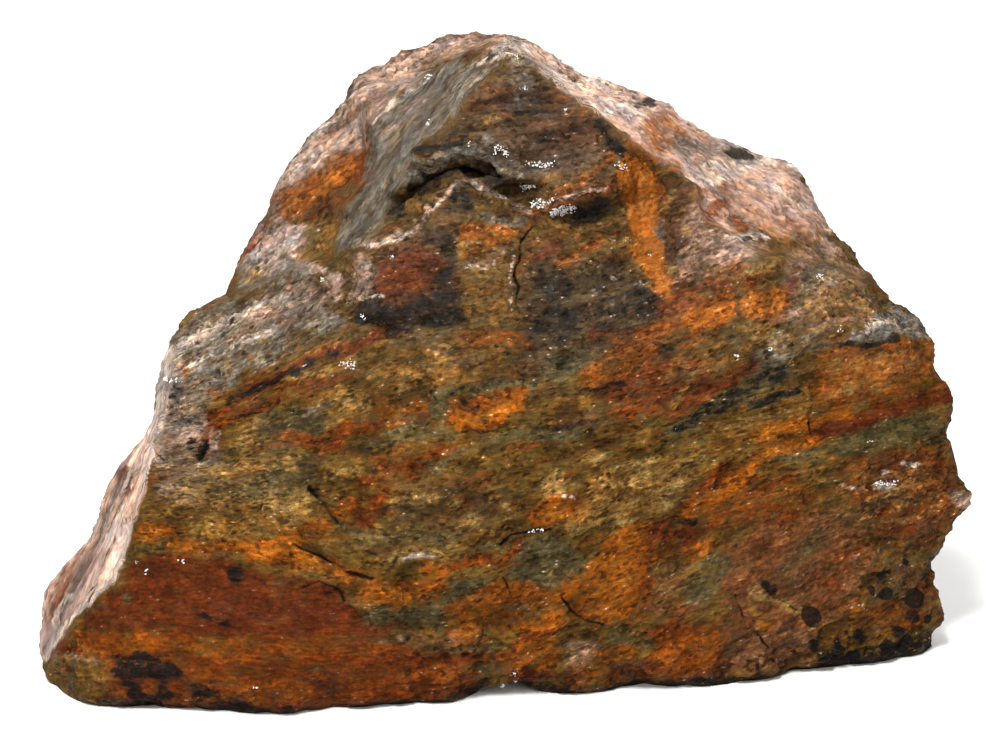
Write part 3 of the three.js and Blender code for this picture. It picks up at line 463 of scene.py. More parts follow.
# Chalk: whitish rims and streaks, with a few painted glints and, in part, painted highlights on rims.
CHALK_AND_GLINT_MARKS = [
    line(0.8, 0.85, (-80, 10.6), (-75.4, 15), (-70.6, 19.6), (-68.4, 24), (-66.8, 30)),
    line(0.8, 0.8, (-65.2, 36), (-63.4, 44), (-62, 51), (-60.4, 57)),
    line(0.8, 0.65, (-72, 22), (-70, 28), (-68, 33)),
    line(0.7, 0.65, (-81.6, 8), (-80.6, 14), (-78, 17)),
    line(0.7, 0.6, (-69.5, 30), (-67, 40), (-64, 46)),
    line(0.8, 0.5, (-82.4, 5.4), (-80.6, 8), (-80, 11)),
    line(0.7, 0.4, (-55, 39.5), (-52, 43.5), (-51, 46)),
    line(1, 0.65, (-60, 60), (-52, 65), (-44, 68.5)),
    line(0.8, 0.55, (-56, 58), (-48, 62), (-40, 64.5)),
    line(1.2, 0.5, (-62, 46), (-60, 54)),
    line(1.1, 0.85, (-45, 77.4), (-41, 78.6), (-37.6, 80.4)),
    line(1.2, 0.5, (-40, 92), (-36, 98), (-30, 103), (-27, 108)),
    line(1, 0.5, (-39, 90), (-37, 94)),
    line(0.7, 0.6, (-24, 101), (-20, 105), (-13, 110)),
    line(0.8, 0.4, (-10, 104), (-4, 110.5)),
    patch(0.8, 0.66, (-5, 111.6), (-2, 115), (0, 116.8), (3, 116.4), (5.6, 112.6), (3, 113), (0.6, 113.6),
          (-1.6, 112.6)),
    # The whitish rim along the upper edge of the lump: partly painted highlight where the edge catches the
    # light.
    line(0.5, 0.6, (-25, 79.3), (-21, 80.3), (-18.4, 81.1)),
    line(0.4, 0.42, (-18.4, 81.1), (-16, 83), (-13.7, 84.9), (-10.5, 88.6), (-8.4, 91.1)),
    line(0.6, 0.45, (-6, 90.4), (-3, 89.4), (1, 87.4), (5, 85.4)),
    line(0.4, 0.4, (-7.6, 75.6), (-4, 75.4), (-1, 77)),
    line(0.4, 0.5, (0.9, 67.4), (0.8, 72), (1.1, 78.6)),
    line(0.5, 0.7, (-28, 69.2), (-24, 70.4), (-22, 70.6)),
    # The whitish rim of the small ledge: partly painted highlight where the edge catches the light.
    line(0.6, 0.45, (6, 86), (11, 88.4), (18, 89.6)),
    line(1.4, 0.75, (37, 91), (43, 93.6)),
    line(1.2, 0.6, (18, 104), (24, 102.6)),
    line(1, 0.5, (12, 108.4), (20, 108)),
    line(1.6, 0.55, (7, 110.4), (13, 106.6), (18, 103)),
    line(2.4, 0.6, (34, 92), (42, 94), (47, 95)),
    line(2, 0.5, (-64, 50), (-60, 60), (-50, 66)),
    line(2, 0.4, (46, 90), (53, 86)),
    line(1.1, 0.65, (39.6, 80.6), (43, 81), (46.6, 80.6)),
    line(0.8, 0.45, (-19, 23.2), (-16, 24.1), (-13, 23.8)),
    line(0.35, 0.9, (10, 34.3), (11.6, 34.4)),
    # Painted glints: white specks where the surface catches the light.
    line(0.9, 0.7, (66, 36.4), (69, 36.2)),
    line(0.5, 0.6, (66.6, 38.6), (68.4, 38.8)),
    line(0.5, 0.9, (71.3, 40.2), (74.2, 40.1)),
    line(0.4, 0.45, (60.5, 36.5), (64, 35.8)),
    *spots(0.8, 0.5, (16.4, 71), (19, 73.6), (21, 70.4), (23.6, 72.4), (25, 69.4), (18.6, 68.8)),
    patch(1.2, 0.34, (61, 63), (66, 67), (71, 68), (74, 65), (68, 63.6)),
]
# Black: manganese oxide, and painted shade where some of the lines and patches below stand for shadow.
BLACK_AND_SHADE_MARKS = [
    patch(2, 0.3, (-31, 78), (-30, 90), (-24, 91), (-22, 85), (-25, 79)),
    patch(0.8, 1, (-70.6, 6), (-68, 6.4), (-65, 6.9), (-60, 5), (-57.2, 3.2), (-57, 1.4), (-58.6, -0.4),
          (-60, -3.4), (-66.4, -3.4), (-67.6, -0.6), (-69, 1.6), (-70.2, 3.4)),
    line(1.3, -1, (-65, 1), (-63.8, 1.2)),
    line(1.6, -1, (-58.4, 0.6), (-55.4, 0.7)),
    patch(1, 0.64, (-57, 1.8), (-51, 1.6), (-50, -3.8), (-56, -3.8)),
    # Painted shade along the foot of the face, where it meets the ground.
    line(1.3, 0.7, (-72, -3), (-62, -3.4), (-50, -4), (-40, -4.6), (-25, -3.4), (-10, -2.7), (-4, -0.2),
          (4, 0.5), (10, -0.9), (17, -0.7), (24, 0.9), (37, 0.5), (48, 1.9), (60, 4.2), (74, 6)),
    *spots(1.3, 0.85, (-48, 20.4)),
    line(0.4, 0.55, (-55, 13.5), (-50, 12)),
    line(0.6, 0.85, (-50, 51.2), (-43, 54.7), (-36, 57.8), (-31, 60.2)),
    line(0.5, 0.6, (-48, 48.6), (-44, 50.2)),
    *spots(0.9, 0.9, (-56.5, 43.3)),
    line(0.6, 0.7, (-55, 41.6), (-54, 44.6)),
    patch(1.5, 0.9, (-28, 67), (-25, 68.6), (-23, 70.4), (-20, 69.2), (-17, 71.4), (-14, 71), (-12.4, 75),
          (-10, 77.6), (-9.6, 73), (-8, 70.6), (-9, 68), (-7.2, 66), (-11, 64.2), (-16, 65), (-20, 63.6),
          (-26, 65)),
    patch(3, 0.42, (-26, 66), (-25, 71), (-18, 74), (-12, 74), (-9, 71), (-10, 65)),
    line(2.2, 0.95, (-24, 66.8), (-17, 67.6), (-11, 67.6)),
    line(1.2, -0.7, (-21, 71.6), (-16, 71.4)),
    patch(2.4, 0.28, (-26, 92), (-24, 101), (-14, 108), (-8, 104), (-16, 95), (-22, 88)),
    patch(2.4, 0.28, (28, 72), (28, 90), (35, 89), (37, 75)),
    line(1.2, 0.75, (-12.4, 80.4), (-10, 78.6)),
    line(1.4, 0.8, (-8.4, 88), (-6.6, 87)),
    # Painted shadow in the groove under the overhang of the grey slope, above the lump.
    line(1.1, 0.85, (-20, 85.4), (-17, 88.6), (-14, 90.8), (-9, 92.8), (-5, 92.2), (-1, 90.8)),
    line(0.6, 0.9, (-16, 95.6), (-12, 97), (-8, 98.6)),
    # Painted shadow in the hollow under the small ledge.
    patch(1.2, 0.95, (10.5, 84.4), (14, 86.6), (18, 87.8), (18.6, 85), (16, 82.4), (12, 83)),
    line(1, 0.85, (16.4, 101.4), (18.6, 98.6), (20.6, 96)),
    patch(2.4, 0.42, (-4, 94), (-2, 108), (4, 109), (12, 103), (18, 97), (8, 92)),
    patch(2.4, 0.6, (4, 62), (5, 75), (11, 76), (14, 66), (10, 60)),
    patch(2.4, 0.54, (14, 62), (17, 74), (24, 74), (28, 69), (22, 62)),
    line(0.7, 0.85, (23.4, 104.6), (26, 105.6)),
    line(0.8, 0.8, (40.4, 96.6), (45, 95)),
    line(0.4, 0.85, (42.4, 80.4), (44.6, 80.5)),
    line(1.1, 0.7, (31, 46.6), (36, 50), (42, 53.4), (49, 56.8)),
    line(0.6, 0.75, (44, 51.5), (49, 52.5), (52.5, 53.5)),
    line(0.6, 0.85, (60, 61.2), (66, 62.4), (70, 62.8)),
    line(0.6, 0.8, (26, 62), (30, 61)),
    line(0.7, 0.6, (13.5, 53.2), (16, 53.4), (20, 55)),
    line(0.6, 0.52, (5, 46.8), (10, 47), (15, 46)),
    line(0.7, 0.6, (-8, 51.2), (-5, 51)),
    *spots(0.6, 0.6, (-4.6, 48.6), (2.6, 47.8), (-5, 46.4)),
    line(0.7, 0.9, (31.4, 30.2), (34, 29.8)),
    line(0.8, 0.7, (46.2, 19.2), (47.6, 17.8)),
    line(1.6, 0.85, (57, 5.6), (61, 5.4), (67, 6.4), (74, 8)),
    *spots(0.9, 0.8, (59, 8.6), (64, 9.4), (70, 10), (75, 10.6), (72.4, 13), (55, 8)),
    *spots(0.6, 0.6, (43, 5), (46.6, 9.6), (50, 8), (41.6, 9), (52, 6.4), (48, 5), (44.6, 4), (38.6, 12.4)),
    *spots(0.4, 0.8, (-47, 60), (-53, 55), (-41, 58), (-56, 62), (-36, 66), (-49, 66), (-58, 47),
          (-45, 49)),
    *spots(0.7, 0.6, (71, 22.4), (-60, 52), (-59, 53.6), (63, 27), (76, 30)),
]
CREAM_MARKS = [
    *spots(1.6, 0.5, (-50, 58), (-43, 62), (-56, 50), (-38, 64), (-52, 66), (-35, 67), (-46, 74)),
    patch(3, 0.34, (60, 31), (62, 40), (72, 42), (80, 39), (80, 32), (70, 29)),
    patch(2, 0.3, (50, 67), (52, 78), (60, 78), (65, 68), (58, 64)),
    patch(2, 0.32, (56, 51), (56, 59), (64, 61), (74, 61), (76, 57), (66, 53)),
    patch(1.2, 0.62, (-43, 31), (-43.4, 34.6), (-41, 36.4), (-37, 36), (-34.6, 35), (-35, 31.4), (-38, 30)),
    *spots(1.3, 0.9, (-38.6, 40.4), (-52, 31.6)),
    *spots(0.9, 0.7, (-1.3, 38), (-18.4, 54), (-16, 55.4), (-14.6, 57.4)),
    *spots(0.5, 0.6, (-12, 60.6), (-10.6, 59), (-15.6, 60), (-20, 58.6), (2.6, 41.4), (-3.6, 34), (4, 33),
          (-14, 37)),
    *spots(1.2, 0.7, (-9, 33.6), (-6.6, 30.8), (0.6, 31.6)),
    line(0.8, 0.8, (6.8, 35), (7.4, 38.4), (9, 38.9), (9.4, 35.4)),
    line(1.2, 0.75, (25, 38), (29, 39.4), (34.6, 41.2)),
    line(1, 0.6, (16, 41), (21, 40.2), (26, 41)),
    line(0.9, 0.55, (17, 37.4), (23, 36), (29, 37)),
    line(0.8, 0.5, (28.4, 31), (29.4, 36), (31, 38)),
    patch(2, 0.34, (14, 33), (15, 38), (20, 41), (33, 42), (32, 36), (30, 31), (20, 31)),
    line(1.6, 0.7, (12.6, 28.6), (16, 30.4), (20, 31)),
    line(0.9, 0.6, (-57, 36), (-53, 37.6), (-50, 40)),
    line(1.8, 0.5, (-50, 40), (-47, 44), (-44, 47)),
    line(1.4, 0.5, (-34, 51), (-29, 52.6), (-26, 51)),
    line(1, 0.6, (-37.4, 55.6), (-32, 56.8)),
    line(1.1, 0.5, (-60, 32), (-54, 34), (-47, 35)),
    line(0.9, 0.5, (-32, 38), (-27, 39.4), (-22, 38.4)),
    line(1, 0.6, (-22, 23), (-17, 24.2), (-12, 23.8)),
    patch(1.6, 0.2, (-8, 66), (-7, 75), (-1, 76), (0, 68)),
    patch(2, 0.36, (-60, 32), (-58, 40), (-48, 44), (-40, 41), (-42, 33)),
    line(1, 0.6, (-9.4, 79), (-4, 80), (-1, 78)),
    *spots(0.8, 0.8, (29.6, 88.4), (31, 85.6), (33.6, 88), (28.6, 86), (30, 75), (33, 79), (31.6, 82),
          (35, 76)),
    line(1, 0.5, (36, 75), (41, 74), (46, 75.6)),
    line(1.6, 0.34, (44, 64.6), (47, 63), (52, 64)),
    line(0.9, 0.5, (-4, 102), (1, 101), (4, 103)),
    line(0.8, 0.5, (44, 18), (48, 15.6), (53, 13.6)),
    *spots(1.4, 0.4, (28, 18), (27, 21)),
    line(0.7, 0.5, (-20, 34), (-16, 33), (-12, 35)),
    line(0.8, 0.45, (34, 47), (40, 47), (46, 49)),
    line(0.8, 0.45, (30, 50), (33.4, 56), (36, 60)),
]
AMBER_MARKS = [
    patch(0.8, 1, (20.9, 95.6), (20.6, 90), (21.2, 84), (23.4, 77), (26.4, 71), (29.4, 69.6), (28.4, 77),
          (27, 83), (27.2, 89), (25.8, 93.4), (23.4, 95.6)),
    line(1.6, 0.9, (34, 66), (37, 67.4), (39.6, 68.8)),
    line(1.9, 0.9, (44.8, 69), (48.2, 69)),
    line(1.8, 0.6, (-38, 87), (-34, 90.2), (-31, 91.6)),
    line(1, 0.6, (45.6, 45), (50, 46.8), (54, 47.4)),
    line(0.8, 0.5, (37, 33.6), (42, 39), (48, 43)),
    line(1.2, 0.5, (-64.6, 27.6), (-62, 28)),
    line(1.4, 0.42, (-44, 24.6), (-38, 25), (-34, 23.4)),
    patch(2.4, 0.36, (56, 51), (56, 58), (64, 60), (74, 61), (76, 57), (66, 54)),
    line(1.4, 0.5, (-8, 80), (-3, 81), (1, 81.6)),
    line(1.4, 0.4, (-8, 49), (-3, 49), (2, 51.6)),
    patch(2, 0.38, (14, 15), (18, 22), (23, 27), (22, 18), (18, 13.6)),
    line(1, 0.45, (8, 31.6), (11, 31.4)),
    patch(3, 0.27, (36, 81), (37, 91), (50, 93), (59, 83), (50, 78)),
    patch(1.2, 0.36, (24, 97), (25, 101), (28, 103.6), (31, 100), (28, 96)),
]
# Besides real stains, the black marks also paint shade in a groove, a hollow and along the foot, and the
# chalk and pink marks paint a few glints and, in part, highlights on rims.
STAINS = {
    "umber": UMBER_MARKS,
    "mauve": MAUVE_MARKS,
    "pink": PINK_MARKS,
    "maroon": MAROON_MARKS,
    "rust": RUST_MARKS,
    "ochre": OCHRE_MARKS,
    "moss": MOSS_MARKS,
    "slate": SLATE_MARKS,
    "orange": ORANGE_MARKS,
    "amber": AMBER_MARKS,
    "cream": CREAM_MARKS,
    "chalk": CHALK_AND_GLINT_MARKS,
    "black": BLACK_AND_SHADE_MARKS,
}

# How each stain looks, in the order they lie on each other: how ragged and how soft its edge is, how dense it
# is, and its darkest and lightest tone.
STAIN_LOOKS = {
    "umber": (2.2, 0.35, 0.9, 0.55, 1.45),
    "mauve": (2.0, 0.4, 0.85, 0.7, 1.35),
    "pink": (1.8, 0.35, 0.9, 0.72, 1.14),
    "maroon": (2.0, 0.4, 0.9, 0.72, 1.25),
    "rust": (2.4, 0.4, 0.9, 0.7, 1.25),
    "ochre": (2.6, 0.4, 0.85, 0.65, 1.35),
    "moss": (2.8, 0.35, 0.85, 0.6, 1.5),
    "slate": (2.8, 0.35, 0.85, 0.62, 1.3),
    "orange": (2.6, 0.45, 0.88, 0.74, 1.22),
    "amber": (2.2, 0.4, 0.9, 0.8, 1.1),
    "cream": (4.0, 0.4, 0.75, 0.6, 1.15),
    "chalk": (4.0, 0.35, 0.85, 0.5, 1.05),
    "black": (3.0, 0.34, 0.95, 0.6, 2.2),
}
STAIN_EDGE = 0.45  # a stain's edge lies where its strength comes down to this

# Open cracks: a half width and a share of the full depth, then the places they pass.
CRACKS = [
    line(0.5, 1, (-38, 26), (-33, 24), (-28.5, 21.3), (-24, 19.8)),
    line(0.35, 0.8, (-36.5, 18.7), (-33.5, 19.4), (-31, 18.2), (-29, 16)),
    line(0.5, 1, (-35.6, 36.4), (-33, 33.5), (-31.5, 31.5), (-30, 30)),
    line(0.3, 0.8, (-33.4, 33.8), (-30.6, 33.4), (-28.6, 34.6)),
    line(0.4, 0.9, (-1, 26), (1, 27.5), (4, 28), (8, 28.6)),
    line(0.4, 0.9, (10, 16.3), (12, 14), (14, 12.6), (17, 11.5)),
    line(0.3, 0.7, (-0.5, 20), (1, 17)),
    line(0.25, 0.6, (-18.3, 20), (-18.6, 16)),
    line(0.3, 0.8, (41, 17), (42.5, 13), (45, 9.5), (47, 7.5)),
    line(0.25, 0.6, (46, 19), (47, 17), (52, 14)),
    line(0.34, 0.9, (4.5, 82.5), (2.4, 79), (1.7, 75), (1.8, 70.6)),
    line(0.26, 0.6, (1.8, 70.6), (2.2, 67.4)),
    line(0.35, 0.8, (54.5, 46), (54.3, 50), (54.6, 54.4)),
    line(0.3, 0.7, (-75.4, 16.4), (-73, 19)),
    line(0.3, 0.6, (-77.4, 14.6), (-76, 15.8)),
    line(0.3, 0.6, (-62.6, 42.6), (-61.4, 41)),
    line(0.4, 0.8, (-55, 41), (-54.2, 43), (-53.8, 45)),
    line(0.3, 0.7, (-43.6, 32), (-43.4, 34.6)),
    line(0.3, 0.6, (-8.4, 58.4), (-8, 55.6)),
    line(0.25, 0.6, (-16, 110.6), (-11, 112), (-7, 113)),
    line(0.3, 0.7, (52.8, 33), (53.4, 36), (54.6, 39.4)),
    line(0.3, 0.5, (9.4, 21.6), (11.4, 19.8)),
    line(0.3, 0.6, (-4, 10.6), (-4.6, 8)),
    line(0.5, 0.6, (-19.4, 23.6), (-19.8, 22)),
    line(0.35, 0.7, (11, 109.6), (12.6, 109.2)),
    line(0.3, 0.6, (-20, 110), (-19.6, 112)),
]

# Round black growths, each a radius and a height share.
BLEBS = [
    *spots(1.8, 1, (54.4, 13.2), (72.8, 16.3)),
    *spots(1.5, 0.9, (59.2, 7.2), (67.9, 7.6)),
    *spots(1.2, 0.8, (67.2, 20.5), (67.9, 17.2), (71.7, 9.2), (63, 10), (62, 6.4)),
    *spots(0.8, 0.7, (65.4, 17.7), (70.9, 22.6), (46, 19), (57, 6.2), (65, 6), (75.4, 12.6), (69.8, 11)),
    *spots(0.5, 0.6, (60.6, 10.4), (74.6, 20.4), (56, 9.4), (51.6, 7), (49, 5), (44.6, 4.4), (73.8, 8.6)),
]

# Places where small quartz crystals catch the light.
DRUSE_SPOTS = [
    *spots(0.45, 1, (1, 113), (3, 107.6), (10.5, 103.3), (-14, 109.8), (4.6, 28), (6, 28.4), (-20.6, 77.4),
          (-25.4, 67)),
    line(0.4, 0.6, (20.4, 93.4), (21.4, 93)),
    line(0.5, 1, (-29.6, 58.4), (-27.4, 58)),
    line(0.5, 1, (-2, 96.6), (0.4, 96.2)),
    line(0.5, 1, (4, 93.8), (8, 94)),
    line(0.6, 1, (5, 86.6), (8.4, 87.6)),
    line(0.6, 1, (8, 85.2), (12, 86.2)),
    line(0.4, 1, (2.6, 89.6), (5, 90)),
    *spots(0.35, 1, (-66, 22.8), (-57.4, 23), (-64.4, 21.4), (-6.6, 97.8), (41, 59.6), (47.4, 60.8),
          (31, 46.4)),
    *spots(0.4, 1, (60, 64.2), (65, 44.4), (1.6, 3.4), (56, 74), (-32.4, 73), (-44.6, 0.4), (-13.6, 101),
          (26, 78)),
    line(0.5, 1, (-1, 1.2), (1.4, 1.4)),
    line(0.35, 1, (66, 37), (69.6, 36.6)),
    line(0.3, 1, (-61, 55.4), (-58, 55)),
]

# Places that broke smoothly, with less relief.
CALM_PLACES = [
    patch(3, 0.6, (-76, 0), (-76, 14), (-68, 24), (-46, 23), (-30, 17), (-20, 9), (-20, -2)),
    patch(3, 0.3, (30, 10), (36, 34), (58, 36), (62, 16), (52, 8)),
    patch(1.5, 0.5, (-31, 78), (-30, 88), (-25, 92), (-26, 102), (-20, 108), (-4, 114), (-10, 102),
          (-21, 86)),
    patch(1.5, 0.4, (-84, 4), (-76, 28), (-66, 48), (-61, 60), (-62, 48), (-68, 24), (-79, 10)),
    patch(1, 0.5, (21, 95), (21, 84), (27, 71), (28, 84), (26, 94)),
    patch(3, 0.4, (20, 103), (26, 108), (46, 97), (57, 88), (61, 78), (50, 76), (36, 80), (30, 88),
          (29, 95)),
    patch(3, 0.32, (-47, 79), (-44, 88), (-34, 102), (-22, 113), (-24, 103), (-32, 95), (-40, 86)),
    patch(3, 0.4, (55, 49), (55, 60), (66, 62), (78, 62), (80, 46), (68, 42), (58, 42)),
]

# Where a facet shows the beds at another slant: the slant in degrees, the share that is left of the length
# along the beds, which draws streaks out, and the facet's outline.
FACET_SLANTS = [
    (65, 0.3, ((-86, 2), (-86, 20), (-76, 30), (-66, 50), (-63, 66), (-59, 62), (-62, 48), (-66, 31),
               (-68, 24), (-71, 19), (-79, 10), (-82, 4))),
    (52, 0.45, ((-31, 78), (-30, 88), (-25.4, 92), (-26, 102), (-20, 108), (-2, 116), (-1, 113), (-10, 102),
                (-17, 95), (-21, 86), (-25, 79))),
    (38, 0.8, ((-50, 70), (-46, 84), (-36, 100), (-28, 110), (-20, 108), (-26, 101), (-25.4, 92), (-30, 88),
               (-31, 78))),
    (-26, 0.8, ((0, 117), (30, 108), (60, 96), (70, 72), (56, 76), (46, 78), (36, 84), (34, 90), (24, 97),
                (6, 111))),
]
FACET_EDGE = 0.3  # half the width over which one facet's beds pass into the next one's
FACET_RIM = 1.5  # how near its edge a facet's beds are matched to those around it
RIM_CALM = (0.4, 1.8)  # the relief is back in full between these distances from a facet's edge

# Slope of the beds across the face, low down and high up: at each u, the rise per millimetre.
BED_SLOPES_LOW = ((-90, 0.0), (-45, -0.04), (-22, 0.02), (-4, 0.24), (18, 0.38), (90, 0.36))
BED_SLOPES_HIGH = ((-90, 0.5), (-34, 0.52), (-18, 0.14), (4, 0.06), (24, 0.3), (90, 0.26))
BED_LOW_TOP, BED_HIGH_FOOT = 26.0, 60.0  # between these heights one set passes into the other


class StoneSettings(bpy.types.PropertyGroup):
    """Sizes of the stone's relief and the colours of its minerals."""

    face_grid: length("Face grid", 0.9, "Longest mesh edge on the broad face")
    back_grid: length("Back grid", 2.4, "Longest mesh edge on the back and underside")
    crack_grid: length("Crack grid", 0.45, "Longest mesh edge at the open cracks, growths and crystals")
    bed_relief: length("Bed relief", 0.5, "Height of the ridges that follow the beds")
    chip_relief: length("Chip relief", 0.75, "Height of the flat-sided chips")
    grain_relief: length("Grain relief", 0.16, "Height of the finest grain that is in the mesh")
    crack_depth: length("Crack depth", 0.9, "Depth of the open cracks")
    bleb_height: length("Growth height", 0.7, "Height of the round black growths")
    body: tint("Body", "#5a4119", "Olive brown ground of the stone")
    # Umber, much darkened, also paints the shade of small pits.
    umber: tint("Umber", "#47321f", "Dark brown chert")
    mauve: tint("Mauve", "#5e3820", "Purplish brown beds")
    maroon: tint("Maroon", "#54210a", "Dark red iron stain")
    rust: tint("Rust", "#662f0a", "Red-brown iron stain")
    ochre: tint("Ochre", "#725022", "Yellow-brown iron stain")
    orange: tint("Orange", "#7d420b", "Bright orange iron stain")
    amber: tint("Amber", "#a35c16", "Brightest orange stain")
    moss: tint("Moss", "#464029", "Dark grey-green chalcedony")
    # Slate also paints the greyer upper part, a painted reflection of the sky.
    slate: tint("Slate", "#6c645a", "Grey chalcedony")
    # Pink also paints, in part, the highlight along the rims of the lump and the small ledge.
    pink: tint("Pink", "#ccab9f", "Pale pink rind")
    # Chalk also paints a few glints, the pale specks that are partly glints, and in part the highlight along
    # the rims of the lump and the small ledge.
    chalk: tint("Chalk", "#d8c7be", "Whitish rims and streaks")
    cream: tint("Cream", "#8c6c3c", "Yellow cream flakes")
    # Black is manganese oxide, and it also paints the shade in the groove above the lump, under the small
    # ledge, along the foot and in the open cracks.
    black: tint("Black", "#100d0c", "Manganese oxide")


class QuartzSettings(bpy.types.PropertyGroup):
    """Sizes of the small quartz crystals."""

    width: length("Crystal width", 0.3, "Width of a crystal's foot")
    height: length("Crystal height", 0.32, "Height of a crystal")
    per_square: bpy.props.FloatProperty(
        name="Crystals per square millimetre", description="How close they stand", default=9, min=0
    )
    clear: tint("Quartz", "#f4f1ec", "Colourless quartz")


class StageSettings(bpy.types.PropertyGroup):
    """Light and floor of the studio."""

    floor: tint("Floor", "#f2f2f0", "Pale paper floor")
    overhead_power: power("Overhead light", 7.6, "Power of the small key light above")
    front_power: power("Front light", 3.4, "Power of the soft light in front")
    back_power: power("Back light", 16, "Power of the light on the floor behind")
    spark_power: power("Spark light", 0.6, "Power of the small light that the crystals catch")
    sky: bpy.props.FloatProperty(
        name="Surround", description="Brightness of the white surround", default=0.32, min=0
    )


# Kinds of node that come up often, each with the settings that it always has.
PLUS = ("ShaderNodeMath", {"operation": "ADD"})
MINUS = ("ShaderNodeMath", {"operation": "SUBTRACT"})
TIMES = ("ShaderNodeMath", {"operation": "MULTIPLY"})
OVER = ("ShaderNodeMath", {"operation": "DIVIDE"})
VECTOR_MINUS = ("ShaderNodeVectorMath", {"operation": "SUBTRACT"})
VECTOR_TIMES = ("ShaderNodeVectorMath", {"operation": "MULTIPLY"})
TIMES_PLUS = ("ShaderNodeVectorMath", {"operation": "MULTIPLY_ADD"})
SCALED = ("ShaderNodeVectorMath", {"operation": "SCALE"})
STEP = ("ShaderNodeMapRange", {"interpolation_type": "SMOOTHSTEP"})
MIX = ("ShaderNodeMix", {"data_type": "RGBA"})


def add(tree, kind, *inputs, named=None, **settings):
    """Adds a node with its settings, and sets or links its inputs, in their order or by name.

    Only the inputs in use count in that order, and a node given as an input links its first output in use.
    """
    node_type, usual = kind if isinstance(kind, tuple) else (kind, {})
    node = tree.nodes.new(node_type)
    for name, value in {**usual, **settings}.items():
        setattr(node, name, value)
    in_use = [socket for socket in node.inputs if not socket.is_unavailable]
    by_name = [(node.inputs[name], value) for name, value in (named or {}).items()]
    for socket, value in [*zip(in_use, inputs), *by_name]:
        if isinstance(value, bpy.types.Node):
            value = next(output for output in value.outputs if not output.is_unavailable)
        if isinstance(value, bpy.types.NodeSocket):
            tree.links.new(value, socket)
        else:
            socket.default_value = value
    return node


def chained(node, kind, *values):
    """Joins the values one after another, each time with a node of the given kind."""
    return functools.reduce(lambda total, value: node(kind, total, value), values)


def per_side(size):
    """Repeats per millimetre along each side of a pattern's size."""
    return tuple(1 / side for side in size)


def smooth_step(low, high, value):
    share = np.clip((value - low) / (high - low), 0, 1)
    return share * share * (3 - 2 * share)


def face_places(points):
    """Seen u and v, and depth w, in millimetres, of points in the part's frame."""
    x, y, z = (points[:, k] / MM + FOOT[k] for k in range(3))
    v = y * math.sin(FACE_LEAN) + z * math.cos(FACE_LEAN)
    w = -y * math.cos(FACE_LEAN) + z * math.sin(FACE_LEAN)
    nearer = 1 - w / SIGHT_DISTANCE
    centre_u, centre_v = SIGHT_CENTRE
    return centre_u + (x - centre_u) / nearer, centre_v + (v - centre_v) / nearer, w


def distance_to(u, v, places, closed):
    """Distance to a line of places, or from a patch's edge, negative inside it."""
    ends = np.array(places, dtype=float)
    starts = ends[:-1] if len(ends) > 1 else ends
    stops = ends[1:] if len(ends) > 1 else ends
    if closed:
        starts, stops = ends, np.roll(ends, -1, axis=0)
    nearest = np.full(u.shape, np.inf)
    inside = np.zeros(u.shape, dtype=bool)
    shortest = 1e-12
    for (au, av), (bu, bv) in zip(starts, stops):
        du, dv = bu - au, bv - av
        squared = max(du * du + dv * dv, shortest)
        share = np.clip(((u - au) * du + (v - av) * dv) / squared, 0, 1)
        nearest = np.minimum(nearest, np.hypot(u - au - share * du, v - av - share * dv))
        if closed and dv:
            inside ^= ((av > v) != (bv > v)) & (u < au + du * (v - av) / dv)
    return np.where(inside, -nearest, nearest) if closed else nearest


def strength_of(marks, u, v, spread=1.0):
    """How strongly the marks cover each place, from 0 to 1, with their reach widened by the given factor."""
    cover = np.zeros(u.shape)
    for mark in marks:
        places, reach = np.array(mark["places"]), spread * mark["reach"]
        low, high = places.min(axis=0) - 2 * reach, places.max(axis=0) + 2 * reach
        near = np.flatnonzero((u > low[0]) & (u < high[0]) & (v > low[1]) & (v < high[1]))
        gap = distance_to(u[near], v[near], mark["places"], mark["closed"])
        inner, outer = (-reach, reach) if mark["closed"] else (LINE_CORE * reach, LINE_END * reach)
        share = 1 - smooth_step(inner, outer, gap)
        if mark["strength"] > 0:
            cover[near] = np.maximum(cover[near], mark["strength"] * share)
        else:
            cover[near] *= 1 + mark["strength"] * share
    return cover


def bed_places(u, v, w, ragged_u, ragged_v):
    """Where each point is along the beds, across them and into the stone, and how near to a facet's edge."""
    spread = np.linspace(-90, 90, 361)

    def rise(slopes):
        at, values = zip(*slopes)
        slope = np.interp(spread, at, values)
        height = np.concatenate([[0], np.cumsum((slope[1:] + slope[:-1]) / 2 * np.diff(spread))])
        return np.interp(u, spread, height) - np.interp(0, spread, height)

    high_share = smooth_step(BED_LOW_TOP, BED_HIGH_FOOT, v)
    across = v - (1 - high_share) * rise(BED_SLOPES_LOW) - high_share * rise(BED_SLOPES_HIGH)
    along, beside = u.copy(), np.zeros(u.shape)
    for slant, stretch, places in FACET_SLANTS:
        gap = distance_to(ragged_u, ragged_v, places, True)
        share = 1 - smooth_step(-FACET_EDGE, FACET_EDGE, gap)
        beside = np.maximum(beside, 1 - smooth_step(*RIM_CALM, np.abs(gap)))
        rim = np.abs(gap) < FACET_RIM
        turn = math.radians(slant)
        for values, turned in (
            (along, stretch * (u * math.cos(turn) + v * math.sin(turn))),
            (across, v * math.cos(turn) - u * math.sin(turn)),
        ):
            turned = turned + np.mean((values - turned)[rim])
            values += share * (turned - values)
    return np.stack([along, across, w], axis=1), beside


